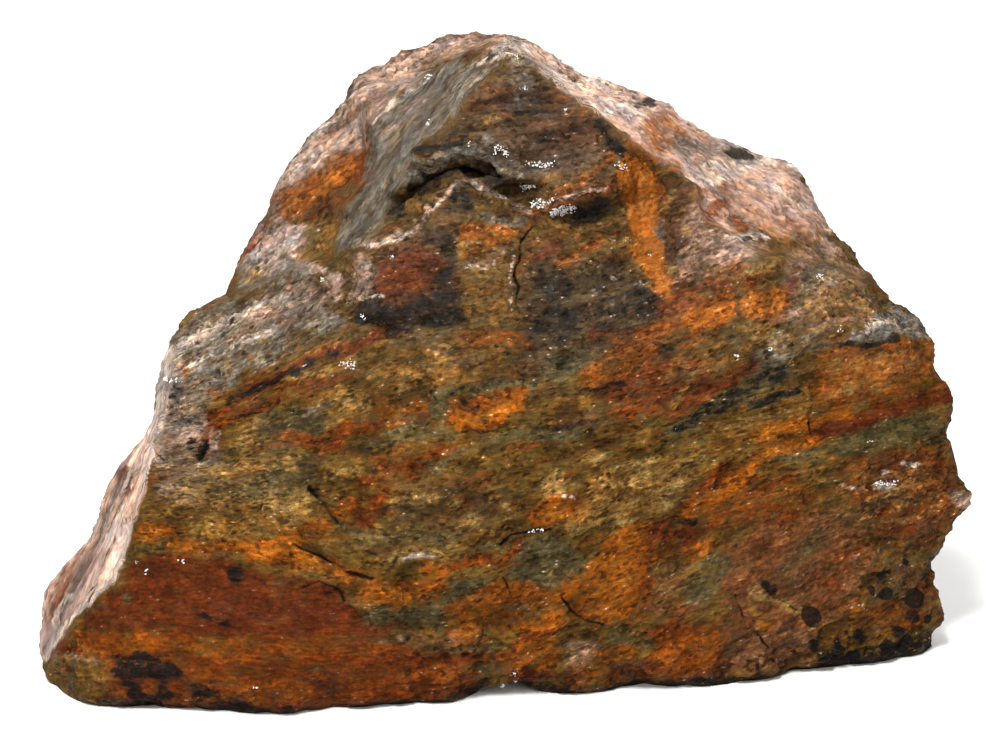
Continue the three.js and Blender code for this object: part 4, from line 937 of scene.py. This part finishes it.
def fine_mesh(settings):
    """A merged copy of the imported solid, cut fine, most of all on the broad face and at its small forms."""
    mesh = bpy.data.meshes.new("stone_base")
    work = bmesh.new()
    work.from_mesh(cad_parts[STONE_NODE].data)
    merging_distance = 0.002 * MM
    bmesh.ops.remove_doubles(work, verts=work.verts, dist=merging_distance)
    bmesh.ops.dissolve_degenerate(work, edges=work.edges, dist=merging_distance)
    bmesh.ops.recalc_face_normals(work, faces=work.faces)
    toward_eye = Vector(TOWARD_EYE)
    most_rounds = 8
    least_strength = 0.2
    for _ in range(most_rounds):
        work.normal_update()
        candidates = [edge for edge in work.edges if edge.calc_length() > settings.crack_grid]
        u, v, w = face_places(np.array([(edge.verts[0].co + edge.verts[1].co) / 2 for edge in candidates]))
        small_forms = strength_of(CRACKS, u, v, spread=1.5) + strength_of(BLEBS, u, v)
        small_forms += strength_of(DRUSE_SPOTS, u, v)
        detailed = np.where(w > -FACE_DEPTH, small_forms, 0) > least_strength
        long_edges = []
        for edge, detail in zip(candidates, detailed):
            span = edge.calc_length()
            if span <= settings.face_grid and not detail:
                continue
            facing = sum((face.normal for face in edge.link_faces), Vector()).normalized().dot(toward_eye)
            share = min(max((facing + EDGE_ON) / (2 * EDGE_ON), 0), 1)
            longest = settings.back_grid + (settings.face_grid - settings.back_grid) * share
            if span > longest or (detail and facing > 0):
                long_edges.append(edge)
        if not long_edges:
            break
        bmesh.ops.subdivide_edges(work, edges=long_edges, cuts=1, smooth=0.0)
        bmesh.ops.triangulate(work, faces=[face for face in work.faces if len(face.verts) > 3])
    work.to_mesh(mesh)
    work.free()
    return mesh


def raised(verts):
    """The verts that don't rest on the ground."""
    return [vert for vert in verts if vert.co.z > RESTING_HEIGHT]


def smooth_once(work, verts):
    """Moves the verts half of the way to the middle of their neighbours."""
    bmesh.ops.smooth_vert(work, verts=verts, factor=0.5, use_axis_x=True, use_axis_y=True, use_axis_z=True)


def soften(mesh):
    """Rounds the facets that the solid's triangles leave, without moving what rests on the ground."""
    work = bmesh.new()
    work.from_mesh(mesh)
    free_verts = raised(work.verts)
    for _ in range(SMOOTHING_ROUNDS):
        smooth_once(work, free_verts)
    work.to_mesh(mesh)
    work.free()


def blunt(mesh):
    """Draws in the few points that stand up like thorns."""
    work = bmesh.new()
    work.from_mesh(mesh)
    for _ in range(BLUNTING_ROUNDS):
        sharp_edges = [edge for edge in work.edges if edge.calc_face_angle(0) > SHARPEST_EDGE]
        thorns = {vert for edge in sharp_edges for vert in edge.verts}
        smooth_once(work, sorted(raised(thorns), key=lambda vert: vert.index))
    work.to_mesh(mesh)
    work.free()


def wander(points, size, seed):
    """A smooth random value from about -1 to 1 at each point, with swings of about the given size."""
    chance = np.random.default_rng(seed)
    waves = 14
    directions = chance.normal(size=(waves, 3))
    directions /= np.linalg.norm(directions, axis=1, keepdims=True)
    lengths = size * chance.uniform(1.3, 3.2, waves)
    starts = chance.uniform(0, 2 * math.pi, waves)
    phases = points @ (directions * (2 * math.pi / lengths)[:, None]).T + starts
    return np.sin(phases).sum(axis=1) / math.sqrt(waves)


def stray(points, *swings):
    """The sum of some swings, each an amount, a length and a seed, at each point."""
    return sum(amount * wander(points, size, seed) for amount, size, seed in swings)


def vertex_rows(mesh, name):
    """One row of three numbers for each vertex of the mesh, such as its place or its normal."""
    values = np.empty(len(mesh.vertices) * 3)
    mesh.vertices.foreach_get(name, values)
    return values.reshape(-1, 3)


def write_attributes(mesh):
    """Keeps the markings, cracks, growths, crystals and beds on the mesh for its nodes to read."""
    points = vertex_rows(mesh, "co") / MM
    u, v, w = face_places(points * MM)
    # Behind the face the markings drift, so that the back isn't a mirror of the front.
    behind = np.clip(-(w + FACE_DEPTH) / BACK_FADE, 0, 1)
    drift_u = behind * BACK_DRIFT[0] * np.sin(w / 9 + v / 17)
    drift_v = behind * BACK_DRIFT[1] * np.sin(w / 7 + u / 13)
    # The edges of the markings are ragged, more along the beds than across them.
    ragged_u, ragged_v = stray(points, *STRAY_ALONG), stray(points, *STRAY_ACROSS)
    mark_u, mark_v = u + drift_u + ragged_u, v + drift_v + ragged_v
    values = {name: strength_of(marks, mark_u, mark_v) for name, marks in STAINS.items()}
    # Chalk lines, with the painted glints and rim highlights among them, cracks, growths and crystals are
    # less ragged, and of these only the chalk marks are on the back too.
    facing = vertex_rows(mesh, "normal") @ TOWARD_EYE
    front = (1 - behind) * smooth_step(-0.15, 0.2, facing)
    clean_u, clean_v = u + 0.5 * ragged_u, v + 0.5 * ragged_v
    values["chalk"] = strength_of(CHALK_AND_GLINT_MARKS, clean_u + drift_u, clean_v + drift_v, spread=0.6)
    values["crack"] = strength_of(CRACKS, clean_u, clean_v, spread=0.55) * front
    values["crack"] *= np.clip(1 + stray(points, CRACK_WAVER), 0.3, 1)
    values["bleb"] = strength_of(BLEBS, clean_u, clean_v, spread=0.75) * front
    values["druse"] = strength_of(DRUSE_SPOTS, clean_u, clean_v, spread=0.75) * front
    # The relief is lower in calm places, on the back and along the edges of facets.
    beds, beside = bed_places(u, v, w, u + ragged_u, v + ragged_v)
    back_calm = 0.55 * smooth_step(0.15, -0.35, facing)
    values["calm"] = np.maximum.reduce([strength_of(CALM_PLACES, u, v), back_calm, beside])
    values["free"] = smooth_step(0.2, 2.5, points[:, 2])
    for name, value in values.items():
        mesh.attributes.new(name, "FLOAT", "POINT").data.foreach_set("value", value.astype(np.float32))
    kept = mesh.attributes.new("beds", "FLOAT_VECTOR", "POINT")
    kept.data.foreach_set("vector", beds.astype(np.float32).ravel())


def flat_chips(node, beds, size, *seed, **settings):
    """Flat chips of a size in millimetres, each with a random tilt.

    Returns their height, from about -0.5 to 0.5, and the outputs of the cells that they fill.
    """
    cells = node(VECTOR_TIMES, beds, per_side(size))
    chip = node("ShaderNodeTexVoronoi", cells, *seed, 1.0, feature="F1", **settings).outputs
    from_middle = node(VECTOR_MINUS, cells, chip["Position"])
    tilt = node(VECTOR_MINUS, chip["Color"], (NOISE_MIDDLE, NOISE_MIDDLE, NOISE_MIDDLE))
    return node("ShaderNodeVectorMath", from_middle, tilt, operation="DOT_PRODUCT"), chip


def surface_tree(name, inputs):
    """A geometry node tree that has a surface, the given inputs and a material, and gives a surface."""
    tree = bpy.data.node_groups.new(name, "GeometryNodeTree")
    for socket, kind in {"Geometry": "Geometry", **inputs, "Material": "Material"}.items():
        tree.interface.new_socket(socket, in_out="INPUT", socket_type="NodeSocket" + kind)
    tree.interface.new_socket("Geometry", in_out="OUTPUT", socket_type="NodeSocketGeometry")
    return tree


def relief_tree():
    """Geometry nodes that break up the surface: bed ridges, chips, grain, cracks and growths."""
    heights = ("Bed Relief", "Chip Relief", "Grain Relief", "Crack Depth", "Growth Height")
    tree = surface_tree("stone_relief", dict.fromkeys((*heights, "Seed"), "Float"))
    node = functools.partial(add, tree)
    given = node("NodeGroupInput").outputs
    stored = {
        name: node("GeometryNodeInputNamedAttribute", name, data_type="FLOAT")
        for name in ("calm", "bleb", "crack", "free")
    }
    straight = node("GeometryNodeInputNamedAttribute", "beds", data_type="FLOAT_VECTOR")
    bend_place = node(VECTOR_TIMES, straight, per_side(RELIEF_BEND_SIZE))
    bend = node("ShaderNodeTexNoise", bend_place, named={"Scale": 1.0, "Detail": 3.0})
    beds = node(TIMES_PLUS, bend.outputs["Color"], (4, 4, 4), straight)
    ridges, grain = (
        node(
            "ShaderNodeTexNoise", node(VECTOR_TIMES, beds, per_side(size)), noise_dimensions="4D",
            named={"W": given["Seed"], "Scale": 1.0, "Detail": detail, "Roughness": roughness},
        )
        for size, detail, roughness in ((RIDGE_SIZE, 4.0, 0.55), (GRAIN_SIZE, 3.0, 0.6))
    )
    chips, _ = flat_chips(node, beds, CHIP_SIZE, given["Seed"], voronoi_dimensions="4D")
    flakes, _ = flat_chips(node, beds, FLAKE_SIZE, given["Seed"], voronoi_dimensions="4D")
    # Ledges step down across the beds, one every few millimetres, and waver with the ridges.
    across = node("ShaderNodeSeparateXYZ", beds).outputs["Y"]
    steps = node(PLUS, node(OVER, across, LEDGE_SPACING), node(TIMES, ridges, 5.0))
    ledges = node(MINUS, NOISE_MIDDLE, node("ShaderNodeMath", steps, operation="FRACT"))
    # Each form with the height that it is given and how much it is stretched to reach it.
    parts = (
        (node(MINUS, ridges, NOISE_MIDDLE), "Bed Relief", NOISE_STRETCH),
        (ledges, "Bed Relief", 1.0),
        (chips, "Chip Relief", CHIP_STRETCH),
        (flakes, "Chip Relief", FLAKE_STRETCH),
        (node(MINUS, grain, NOISE_MIDDLE), "Grain Relief", NOISE_STRETCH),
    )
    heights_of_parts = [chained(node, TIMES, form, given[name], stretch) for form, name, stretch in parts]
    height = chained(node, PLUS, *heights_of_parts)
    height = node(TIMES, height, node(MINUS, 1.0, stored["calm"]))
    height = node(PLUS, height, node(TIMES, stored["bleb"], given["Growth Height"]))
    height = node(MINUS, height, node(TIMES, stored["crack"], given["Crack Depth"]))
    height = node(TIMES, height, stored["free"])
    kept = node(
        "GeometryNodeStoreNamedAttribute", data_type="FLOAT", domain="POINT",
        named={"Geometry": given["Geometry"], "Name": "relief", "Value": node(OVER, height, MM)},
    )
    offset = node(SCALED, node("GeometryNodeInputNormal").outputs["Normal"], height)
    moved = node("GeometryNodeSetPosition", named={"Geometry": kept, "Offset": offset})
    real = node("GeometryNodeRealizeInstances", moved)
    dressed = node("GeometryNodeSetMaterial", named={"Geometry": real, "Material": given["Material"]})
    node("NodeGroupOutput", dressed)
    return tree


def crystal_tree():
    """Geometry nodes that stand small crystals on the surface wherever its druse attribute says."""
    sizes = dict.fromkeys(("Width", "Height", "Density"), "Float")
    tree = surface_tree("quartz_druse", {**sizes, "Seed": "Int"})
    node = functools.partial(add, tree)
    given = node("NodeGroupInput").outputs
    druse = node("GeometryNodeInputNamedAttribute", "druse", data_type="FLOAT")
    density = node(TIMES, druse, given["Density"])
    points = node(
        "GeometryNodeDistributePointsOnFaces", distribute_method="RANDOM",
        named={"Mesh": given["Geometry"], "Density": density, "Seed": given["Seed"]},
    ).outputs
    crystal = node(
        "GeometryNodeMeshCone",
        named={
            "Vertices": CRYSTAL_SIDES,
            "Radius Top": node(TIMES, given["Width"], CRYSTAL_TIP),
            "Radius Bottom": node(TIMES, given["Width"], 0.5),
            "Depth": given["Height"],
        },
    )
    tilt = node(
        "FunctionNodeRandomValue", data_type="FLOAT_VECTOR",
        named={
            "Min": (-CRYSTAL_TILT, -CRYSTAL_TILT, 0),
            "Max": (CRYSTAL_TILT, CRYSTAL_TILT, CRYSTAL_TURN),
            "Seed": given["Seed"],
        },
    )
    turned = node(
        "FunctionNodeRotateRotation", rotation_space="LOCAL",
        named={"Rotation": points["Rotation"], "Rotate By": tilt},
    )
    size = node("FunctionNodeRandomValue", *CRYSTAL_SIZES, named={"Seed": given["Seed"]}, data_type="FLOAT")
    stood = node(
        "GeometryNodeInstanceOnPoints",
        named={"Points": points["Points"], "Instance": crystal, "Rotation": turned, "Scale": size},
    )
    real = node("GeometryNodeRealizeInstances", stood)
    dressed = node("GeometryNodeSetMaterial", named={"Geometry": real, "Material": given["Material"]})
    node("NodeGroupOutput", dressed)
    return tree


def run_tree(mesh, tree, values, name):
    """The plain mesh that a geometry node tree makes of a mesh, as an object."""
    source = bpy.data.objects.new(name, mesh)
    bpy.context.scene.collection.objects.link(source)
    modifier = source.modifiers.new(tree.name, "NODES")
    modifier.node_group = tree
    sockets = {item.name: item.identifier for item in tree.interface.items_tree if item.in_out == "INPUT"}
    for socket, value in values.items():
        modifier[sockets[socket]] = value
    graph = bpy.context.evaluated_depsgraph_get()
    result = bpy.data.meshes.new_from_object(source.evaluated_get(graph))
    result.name = name
    source.modifiers.remove(modifier)
    source.data = result
    return source


def new_material(name):
    """An empty material, and the function that adds nodes to it."""
    material = bpy.data.materials.new(name)
    material.use_nodes = True
    material.node_tree.nodes.clear()
    return material, functools.partial(add, material.node_tree)


def shade(colour, factor=1.0):
    """A colour made lighter or darker, with its alpha."""
    return (*(min(c * factor, 1) for c in colour), 1)


def three_noises(node, places, size, detail):
    """Three unlike noises, with swings of the given size in millimetres."""
    where = node(VECTOR_TIMES, places, per_side(size))
    noise = node("ShaderNodeTexNoise", where, named={"Scale": 1.0, "Detail": detail, "Roughness": 0.6})
    return node("ShaderNodeSeparateColor", noise.outputs["Color"]).outputs[:3]


def stone_patterns(node):
    """What the stone's colour and bump are made from: stored values, noises over the beds, and chips."""
    beds = node("ShaderNodeAttribute", attribute_name="beds").outputs["Vector"]
    stored = {
        name: node("ShaderNodeAttribute", attribute_name=name).outputs["Fac"]
        for name in (*STAINS, "calm", "relief", "bleb", "crack")
    }
    bend_place = node(VECTOR_TIMES, beds, per_side(COLOUR_BEND_SIZE))
    bend = node("ShaderNodeTexNoise", bend_place, named={"Scale": 1.0, "Detail": 2.0})
    bent = node(TIMES_PLUS, bend.outputs["Color"], (2, 2.6, 2), beds)
    small_height, small_cells = flat_chips(node, beds, SMALL_CHIP_SIZE)
    large_height, large_cells = flat_chips(node, beds, LARGE_CHIP_SIZE)
    return SimpleNamespace(
        beds=beds,
        bent=bent,
        stored=stored,
        rough=node(MINUS, 1.0, stored["calm"]),
        streaks=three_noises(node, bent, STREAK_SIZE, 3.0),
        lumps=three_noises(node, bent, LUMP_SIZE, 4.0),
        grains=three_noises(node, beds, SPECKLE_SIZE, 3.0),
        small_height=small_height,
        large_height=large_height,
        small_kind=node("ShaderNodeSeparateColor", small_cells["Color"]).outputs,
        large_kind=node("ShaderNodeSeparateColor", large_cells["Color"]).outputs,
        small_way=small_cells["Distance"],
    )


def stained_colour(node, settings, pattern):
    """The brown ground, streaked all over by three minerals, with every stain, and the painted shade, glints
    and highlights among the marks, laid where it is stored.
    """
    lumps, streaks, grains = pattern.lumps, pattern.streaks, pattern.grains
    body = settings.body
    colour = node(MIX, node(STEP, lumps[0], 0.34, 0.66), shade(body, 0.55), shade(body, 1.25))
    for streak, low, high, most, tone in (
        (streaks[0], 0.48, 0.66, 0.55, shade(settings.rust)),
        (streaks[1], 0.52, 0.68, 0.6, shade(settings.moss, 1.1)),
        (streaks[2], 0.52, 0.7, 0.7, shade(settings.ochre)),
    ):
        colour = node(MIX, node(STEP, streak, low, high, 0.0, most), colour, tone)
    for index, (name, (ragged, soft, density, darkest, lightest)) in enumerate(STAIN_LOOKS.items()):
        streak, lump, grain = streaks[index % 3], lumps[(index + index // 3) % 3], grains[(index + 1) % 3]
        wobble = node(MINUS, chained(node, PLUS, streak, lump, grain), 3 * NOISE_MIDDLE)
        share = node(TIMES, pattern.stored[name], node(PLUS, node(TIMES, wobble, ragged), 1.0))
        cover = node(STEP, share, STAIN_EDGE - soft, STAIN_EDGE + soft, 0.0, density)
        own_tone = node(STEP, node(PLUS, lumps[index % 3], grains[index % 3]), 0.8, 1.2)
        stain = getattr(settings, name)
        colour = node(MIX, cover, colour, node(MIX, own_tone, shade(stain, darkest), shade(stain, lightest)))
    return colour


def broken_colour(node, settings, pattern, colour):
    """Lays thin dark veins, dark dots painted as the shade of small pits, and a few pale specks, partly
    painted glints, over the colour, wherever the stone isn't calm.
    """
    streaks, lumps, rough = pattern.streaks, pattern.lumps, pattern.rough
    for line_noise, place_noise, width in ((streaks[2], lumps[2], 0.012), (lumps[0], streaks[0], 0.008)):
        gap = node("ShaderNodeMath", node(MINUS, line_noise, 0.52), operation="ABSOLUTE")
        strength = node(STEP, place_noise, 0.5, 0.6, 0.0, 0.7)
        vein = chained(node, TIMES, node(STEP, gap, width, 0.0), strength, rough)
        colour = node(MIX, vein, colour, shade(settings.umber, 0.3))
    # Dark dots painted as the shade of small pits, and pale grains that are partly painted glints: how far
    # they reach in a cell, which cells have one, the lumps they keep to and a tone.
    for reach, kind, (low, high, most), lump, tone in (
        ((0.45, 0.25), 2, (0.74, 0.78, 0.5), (lumps[1], 0.44, 0.56), shade(settings.umber, 0.25)),
        ((0.3, 0.16), 1, (0.87, 0.9, 0.4), (lumps[0], 0.46, 0.56), shade(settings.chalk, 0.9)),
    ):
        chosen = node(STEP, pattern.small_kind[kind], low, high, 0.0, most)
        dot = chained(node, TIMES, node(STEP, pattern.small_way, *reach), chosen, node(STEP, *lump), rough)
        colour = node(MIX, dot, colour, tone)
    return colour


def toned_colour(node, settings, pattern, colour):
    """Gives each chip its own tone, paints shade into the hollows and light onto the raised parts, paints the
    upper part greyer as a painted reflection, blackens the growths and paints shade into the cracks.
    """
    lumps, kind, rough = pattern.lumps, pattern.small_kind, pattern.rough
    # The upper part is painted greyer, towards the slate tone, as a painted reflection of the sky, and
    # minerals of another hue show through everywhere.
    place = node("ShaderNodeTexCoord").outputs["Object"]
    height_up = node("ShaderNodeSeparateXYZ", place).outputs["Z"]
    colour = node(MIX, node(STEP, height_up, 50 * MM, 70 * MM, 0.0, 0.09), colour, shade(settings.slate, 1.1))
    hue = node(MIX, node(STEP, lumps[2], 0.38, 0.62), (0.93, 1.0, 1.04, 1), (1.1, 0.97, 0.78, 1))
    colour = node(MIX, 1.0, colour, hue, blend_type="MULTIPLY")
    # A few chips are much paler or darker than the rest.
    pale = node(STEP, node(PLUS, kind[1], lumps[1]), 1.3, 1.42, 0.0, 0.5)
    dark = node(STEP, node(PLUS, kind[2], lumps[2]), 1.28, 1.4, 0.0, 0.5)
    fibre_place = node(VECTOR_TIMES, pattern.bent, per_side(FIBRE_SIZE))
    fibre = node("ShaderNodeTexNoise", fibre_place, named={"Scale": 1.0, "Detail": 2.0})
    tone = chained(
        node, TIMES,
        node(PLUS, 1.0, node(TIMES, pale, rough)),
        node(MINUS, 1.0, node(TIMES, dark, rough)),
        node(STEP, kind[0], 0.0, 1.0, 0.86, 1.1),
        node(STEP, pattern.large_kind[0], 0.0, 1.0, 0.84, 1.1),
        node(STEP, fibre, 0.36, 0.64, 0.84, 1.14),
        node(STEP, pattern.grains[1], 0.3, 0.7, 0.8, 1.12),
        # Painted shade in the hollows and painted light on the raised parts, from the stored relief.
        node(STEP, pattern.stored["relief"], -0.9, 0.9, 0.5, 1.3),
    )
    colour = node(SCALED, colour, tone)
    waver = node(TIMES, node(MINUS, lumps[0], NOISE_MIDDLE), 0.5)
    growth = node(STEP, node(PLUS, pattern.stored["bleb"], waver), 0.2, 0.4, 0.0, 0.9)
    colour = node(MIX, growth, colour, shade(settings.black))
    # Painted shade in the open cracks, darker than the manganese.
    crack = node(STEP, pattern.stored["crack"], 0.2, 0.7, 0.0, 0.92)
    return node(MIX, crack, colour, shade(settings.black, 0.6))


def stone_bump(node, pattern):
    """The chips and the grit that are too fine for the mesh, as a bump in millimetres."""
    grit_place = node(VECTOR_TIMES, pattern.beds, per_side(GRIT_SIZE))
    grit = node("ShaderNodeTexNoise", grit_place, named={"Scale": 1.0, "Detail": 3.0})
    height = chained(
        node, PLUS,
        node(TIMES, pattern.small_height, 0.2),
        node(TIMES, pattern.large_height, 1.25),
        node(TIMES, grit, 0.28),
    )
    height = node(TIMES, height, node(STEP, pattern.rough, 0.0, 1.0, 0.2, 1.0))
    return node("ShaderNodeBump", named={"Strength": 1.0, "Distance": MM, "Height": height})


def stone_material(settings):
    """Picture jasper: microcrystalline quartz stained by iron and manganese, broken and unpolished, with
    painted shade, highlights, glints and a painted reflection in its colour.

    Fresh breaks in chalcedony have a waxy, half-dull surface that glints only on small edges.
    """
    material, node = new_material("picture jasper, broken chalcedony")
    pattern = stone_patterns(node)
    colour = stained_colour(node, settings, pattern)
    colour = broken_colour(node, settings, pattern, colour)
    colour = toned_colour(node, settings, pattern, colour)
    surface = node(
        "ShaderNodeBsdfPrincipled",
        named={
            "Base Color": colour,
            "Roughness": node(STEP, pattern.lumps[1], 0.35, 0.65, 0.4, 0.7),
            "IOR": 1.54,
            "Normal": stone_bump(node, pattern),
            "Specular IOR Level": 0.04,
        },
    )
    node("ShaderNodeOutputMaterial", named={"Surface": surface})
    return material


def quartz_material(settings):
    """Drusy quartz: clear crystal faces, nearly mirror smooth, that flash white."""
    material, node = new_material("drusy quartz")
    place = node("ShaderNodeTexCoord").outputs["Object"]
    frost = node("ShaderNodeTexNoise", place, named={"Scale": 1 / (FROST_SIZE * MM), "Detail": 2.0})
    colour = node(MIX, frost, shade(settings.clear, 0.75), shade(settings.clear))
    surface = node(
        "ShaderNodeBsdfPrincipled",
        named={"Base Color": colour, "Roughness": 0.15, "IOR": 1.54, "Transmission Weight": 0.15},
    )
    node("ShaderNodeOutputMaterial", named={"Surface": surface})
    return material


def drop_doubled_faces(mesh):
    """Drops the pairs of triangles that lie back to back, which are left where very thin ones were cut."""
    work = bmesh.new()
    work.from_mesh(mesh)
    waiting, doubled = defaultdict(list), []
    for face in work.faces:
        corners = [vert.index for vert in face.verts]
        first = corners.index(min(corners))
        a, b, c = corners[first:] + corners[:first]
        if waiting[a, c, b]:
            doubled += [face, waiting[a, c, b].pop()]
        else:
            waiting[a, b, c].append(face)
    bmesh.ops.delete(work, geom=doubled, context="FACES")
    work.to_mesh(mesh)
    work.free()


def settle_piece(piece):
    """Keeps the piece above the ground and on the body called root, and hides the imported solid."""
    if not piece.data.polygons:
        raise RuntimeError(f"{piece.name} came out empty")
    for vert in piece.data.vertices:
        vert.co.z = max(vert.co.z, 0)
    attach(piece, "root")
    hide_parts(STONE_NODE)


def lay_floor(scene, settings):
    """A wide sheet of white paper under the stone."""
    mesh = bpy.data.meshes.new("paper_floor")
    work = bmesh.new()
    bmesh.ops.create_grid(work, x_segments=1, y_segments=1, size=4)
    work.to_mesh(mesh)
    work.free()
    floor = bpy.data.objects.new("paper_floor", mesh)
    scene.collection.objects.link(floor)
    paper, node = new_material("white paper")
    surface = node("ShaderNodeBsdfPrincipled", named={"Base Color": (*settings.floor, 1), "Roughness": 0.9})
    node("ShaderNodeOutputMaterial", named={"Surface": surface})
    mesh.materials.append(paper)


def light_studio(scene, settings):
    """A white surround and four area lights."""
    world = bpy.data.worlds.new("white surround")
    world.use_nodes = True
    background = world.node_tree.nodes["Background"]
    background.inputs["Color"].default_value = (1, 1, 1, 1)
    background.inputs["Strength"].default_value = settings.sky
    scene.world = world
    scene.view_settings.view_transform = "Standard"
    # Name, power, size, place and target of each light, in metres.
    for name, watts, size, place, target in (
        ("overhead_light", settings.overhead_power, 0.16, (-0.12, -0.42, 0.66), (0, 0, 0.07)),
        ("front_light", settings.front_power, 0.7, (0.35, -1.0, 0.6), (0, 0, 0.055)),
        ("back_light", settings.back_power, 1.2, (0, 0.9, 1.1), (0, 0.8, 0)),
        ("spark_light", settings.spark_power, 0.03, (-0.25, -0.7, 0.7), (0, 0, 0.055)),
    ):
        lamp = bpy.data.lights.new(name, "AREA")
        lamp.energy = watts
        lamp.size = size
        light = bpy.data.objects.new(name, lamp)
        aim = Vector(target) - Vector(place)
        light.matrix_world = Matrix.Translation(place) @ aim.to_track_quat("-Z", "Y").to_matrix().to_4x4()
        scene.collection.objects.link(light)


def aim_camera(scene):
    """A camera square to the broad face, at the distance the stone is seen from."""
    back, up = Vector(TOWARD_EYE), Vector(UP_THE_FACE)
    across, height = SIGHT_CENTRE
    centre = Vector((across, 0, 0)) + height * up - Vector(FOOT)
    camera = bpy.data.objects.new("camera", bpy.data.cameras.new("camera"))
    camera.data.sensor_width = SENSOR_WIDTH
    camera.data.lens = SENSOR_WIDTH * SIGHT_DISTANCE / VIEW_WIDTH
    camera.data.clip_start = 0.05
    axes = Matrix((up.cross(back), up, back)).transposed().to_4x4()
    camera.matrix_world = Matrix.Translation((centre + SIGHT_DISTANCE * back) * MM) @ axes
    scene.collection.objects.link(camera)
    scene.camera = camera


class JASPER_OT_stone(bpy.types.Operator):
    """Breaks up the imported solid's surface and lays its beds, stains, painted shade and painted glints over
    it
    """

    bl_idname = "jasper.stone"
    bl_label = "Make the stone"

    def execute(self, context):
        settings = context.scene.jasper_stone
        mesh = fine_mesh(settings)
        soften(mesh)
        write_attributes(mesh)
        values = {
            "Bed Relief": settings.bed_relief,
            "Chip Relief": settings.chip_relief,
            "Grain Relief": settings.grain_relief,
            "Crack Depth": settings.crack_depth,
            "Growth Height": settings.bleb_height,
            "Seed": RELIEF_SEED,
            "Material": stone_material(settings),
        }
        stone = run_tree(mesh, relief_tree(), values, STONE_PIECE)
        blunt(stone.data)
        stone.data.shade_smooth()
        settle_piece(stone)
        return {"FINISHED"}


class JASPER_OT_quartz(bpy.types.Operator):
    """Stands small quartz crystals in the hollows of the stone"""

    bl_idname = "jasper.quartz"
    bl_label = "Grow the quartz"

    def execute(self, context):
        settings = context.scene.jasper_quartz
        stone = bpy.data.objects.get(STONE_PIECE)
        if stone is None:
            raise RuntimeError("make the stone first")
        values = {
            "Width": settings.width,
            "Height": settings.height,
            "Density": settings.per_square / MM**2,
            "Seed": DRUSE_SEED,
            "Material": quartz_material(settings),
        }
        settle_piece(run_tree(stone.data.copy(), crystal_tree(), values, QUARTZ_PIECE))
        # This comes last, because the crystals' places are drawn by the numbers of the stone's faces.
        drop_doubled_faces(stone.data)
        return {"FINISHED"}


class JASPER_OT_stage(bpy.types.Operator):
    """Sets the floor, the lights and the camera"""

    bl_idname = "jasper.stage"
    bl_label = "Set the stage"

    def execute(self, context):
        scene, settings = context.scene, context.scene.jasper_stage
        lay_floor(scene, settings)
        light_studio(scene, settings)
        aim_camera(scene)
        return {"FINISHED"}


class JASPER_PT_sidebar(bpy.types.Panel):
    """Sizes and colours of the jasper, and the steps that make it."""

    bl_label = "Rough picture jasper"
    bl_idname = "JASPER_PT_sidebar"
    bl_space_type = "VIEW_3D"
    bl_region_type = "UI"
    bl_category = "Jasper"

    def draw(self, context):
        for operator, group in STEPS:
            box = self.layout.box()
            settings = getattr(context.scene, group)
            for name in settings.__annotations__:
                box.prop(settings, name)
            box.operator(operator.bl_idname)


STEPS = (
    (JASPER_OT_stone, "jasper_stone"),
    (JASPER_OT_quartz, "jasper_quartz"),
    (JASPER_OT_stage, "jasper_stage"),
)
GROUPS = {"jasper_stone": StoneSettings, "jasper_quartz": QuartzSettings, "jasper_stage": StageSettings}
CLASSES = (*GROUPS.values(), JASPER_OT_stone, JASPER_OT_quartz, JASPER_OT_stage, JASPER_PT_sidebar)


def register():
    for kind in CLASSES:
        bpy.utils.register_class(kind)
    for name, group in GROUPS.items():
        setattr(bpy.types.Scene, name, bpy.props.PointerProperty(type=group))


def unregister():
    for name in GROUPS:
        delattr(bpy.types.Scene, name)
    for kind in reversed(CLASSES):
        bpy.utils.unregister_class(kind)


def main():
    register()
    for name in ("stone", "quartz", "stage"):
        getattr(bpy.ops.jasper, name)()


if __name__ == "__main__":
    main()
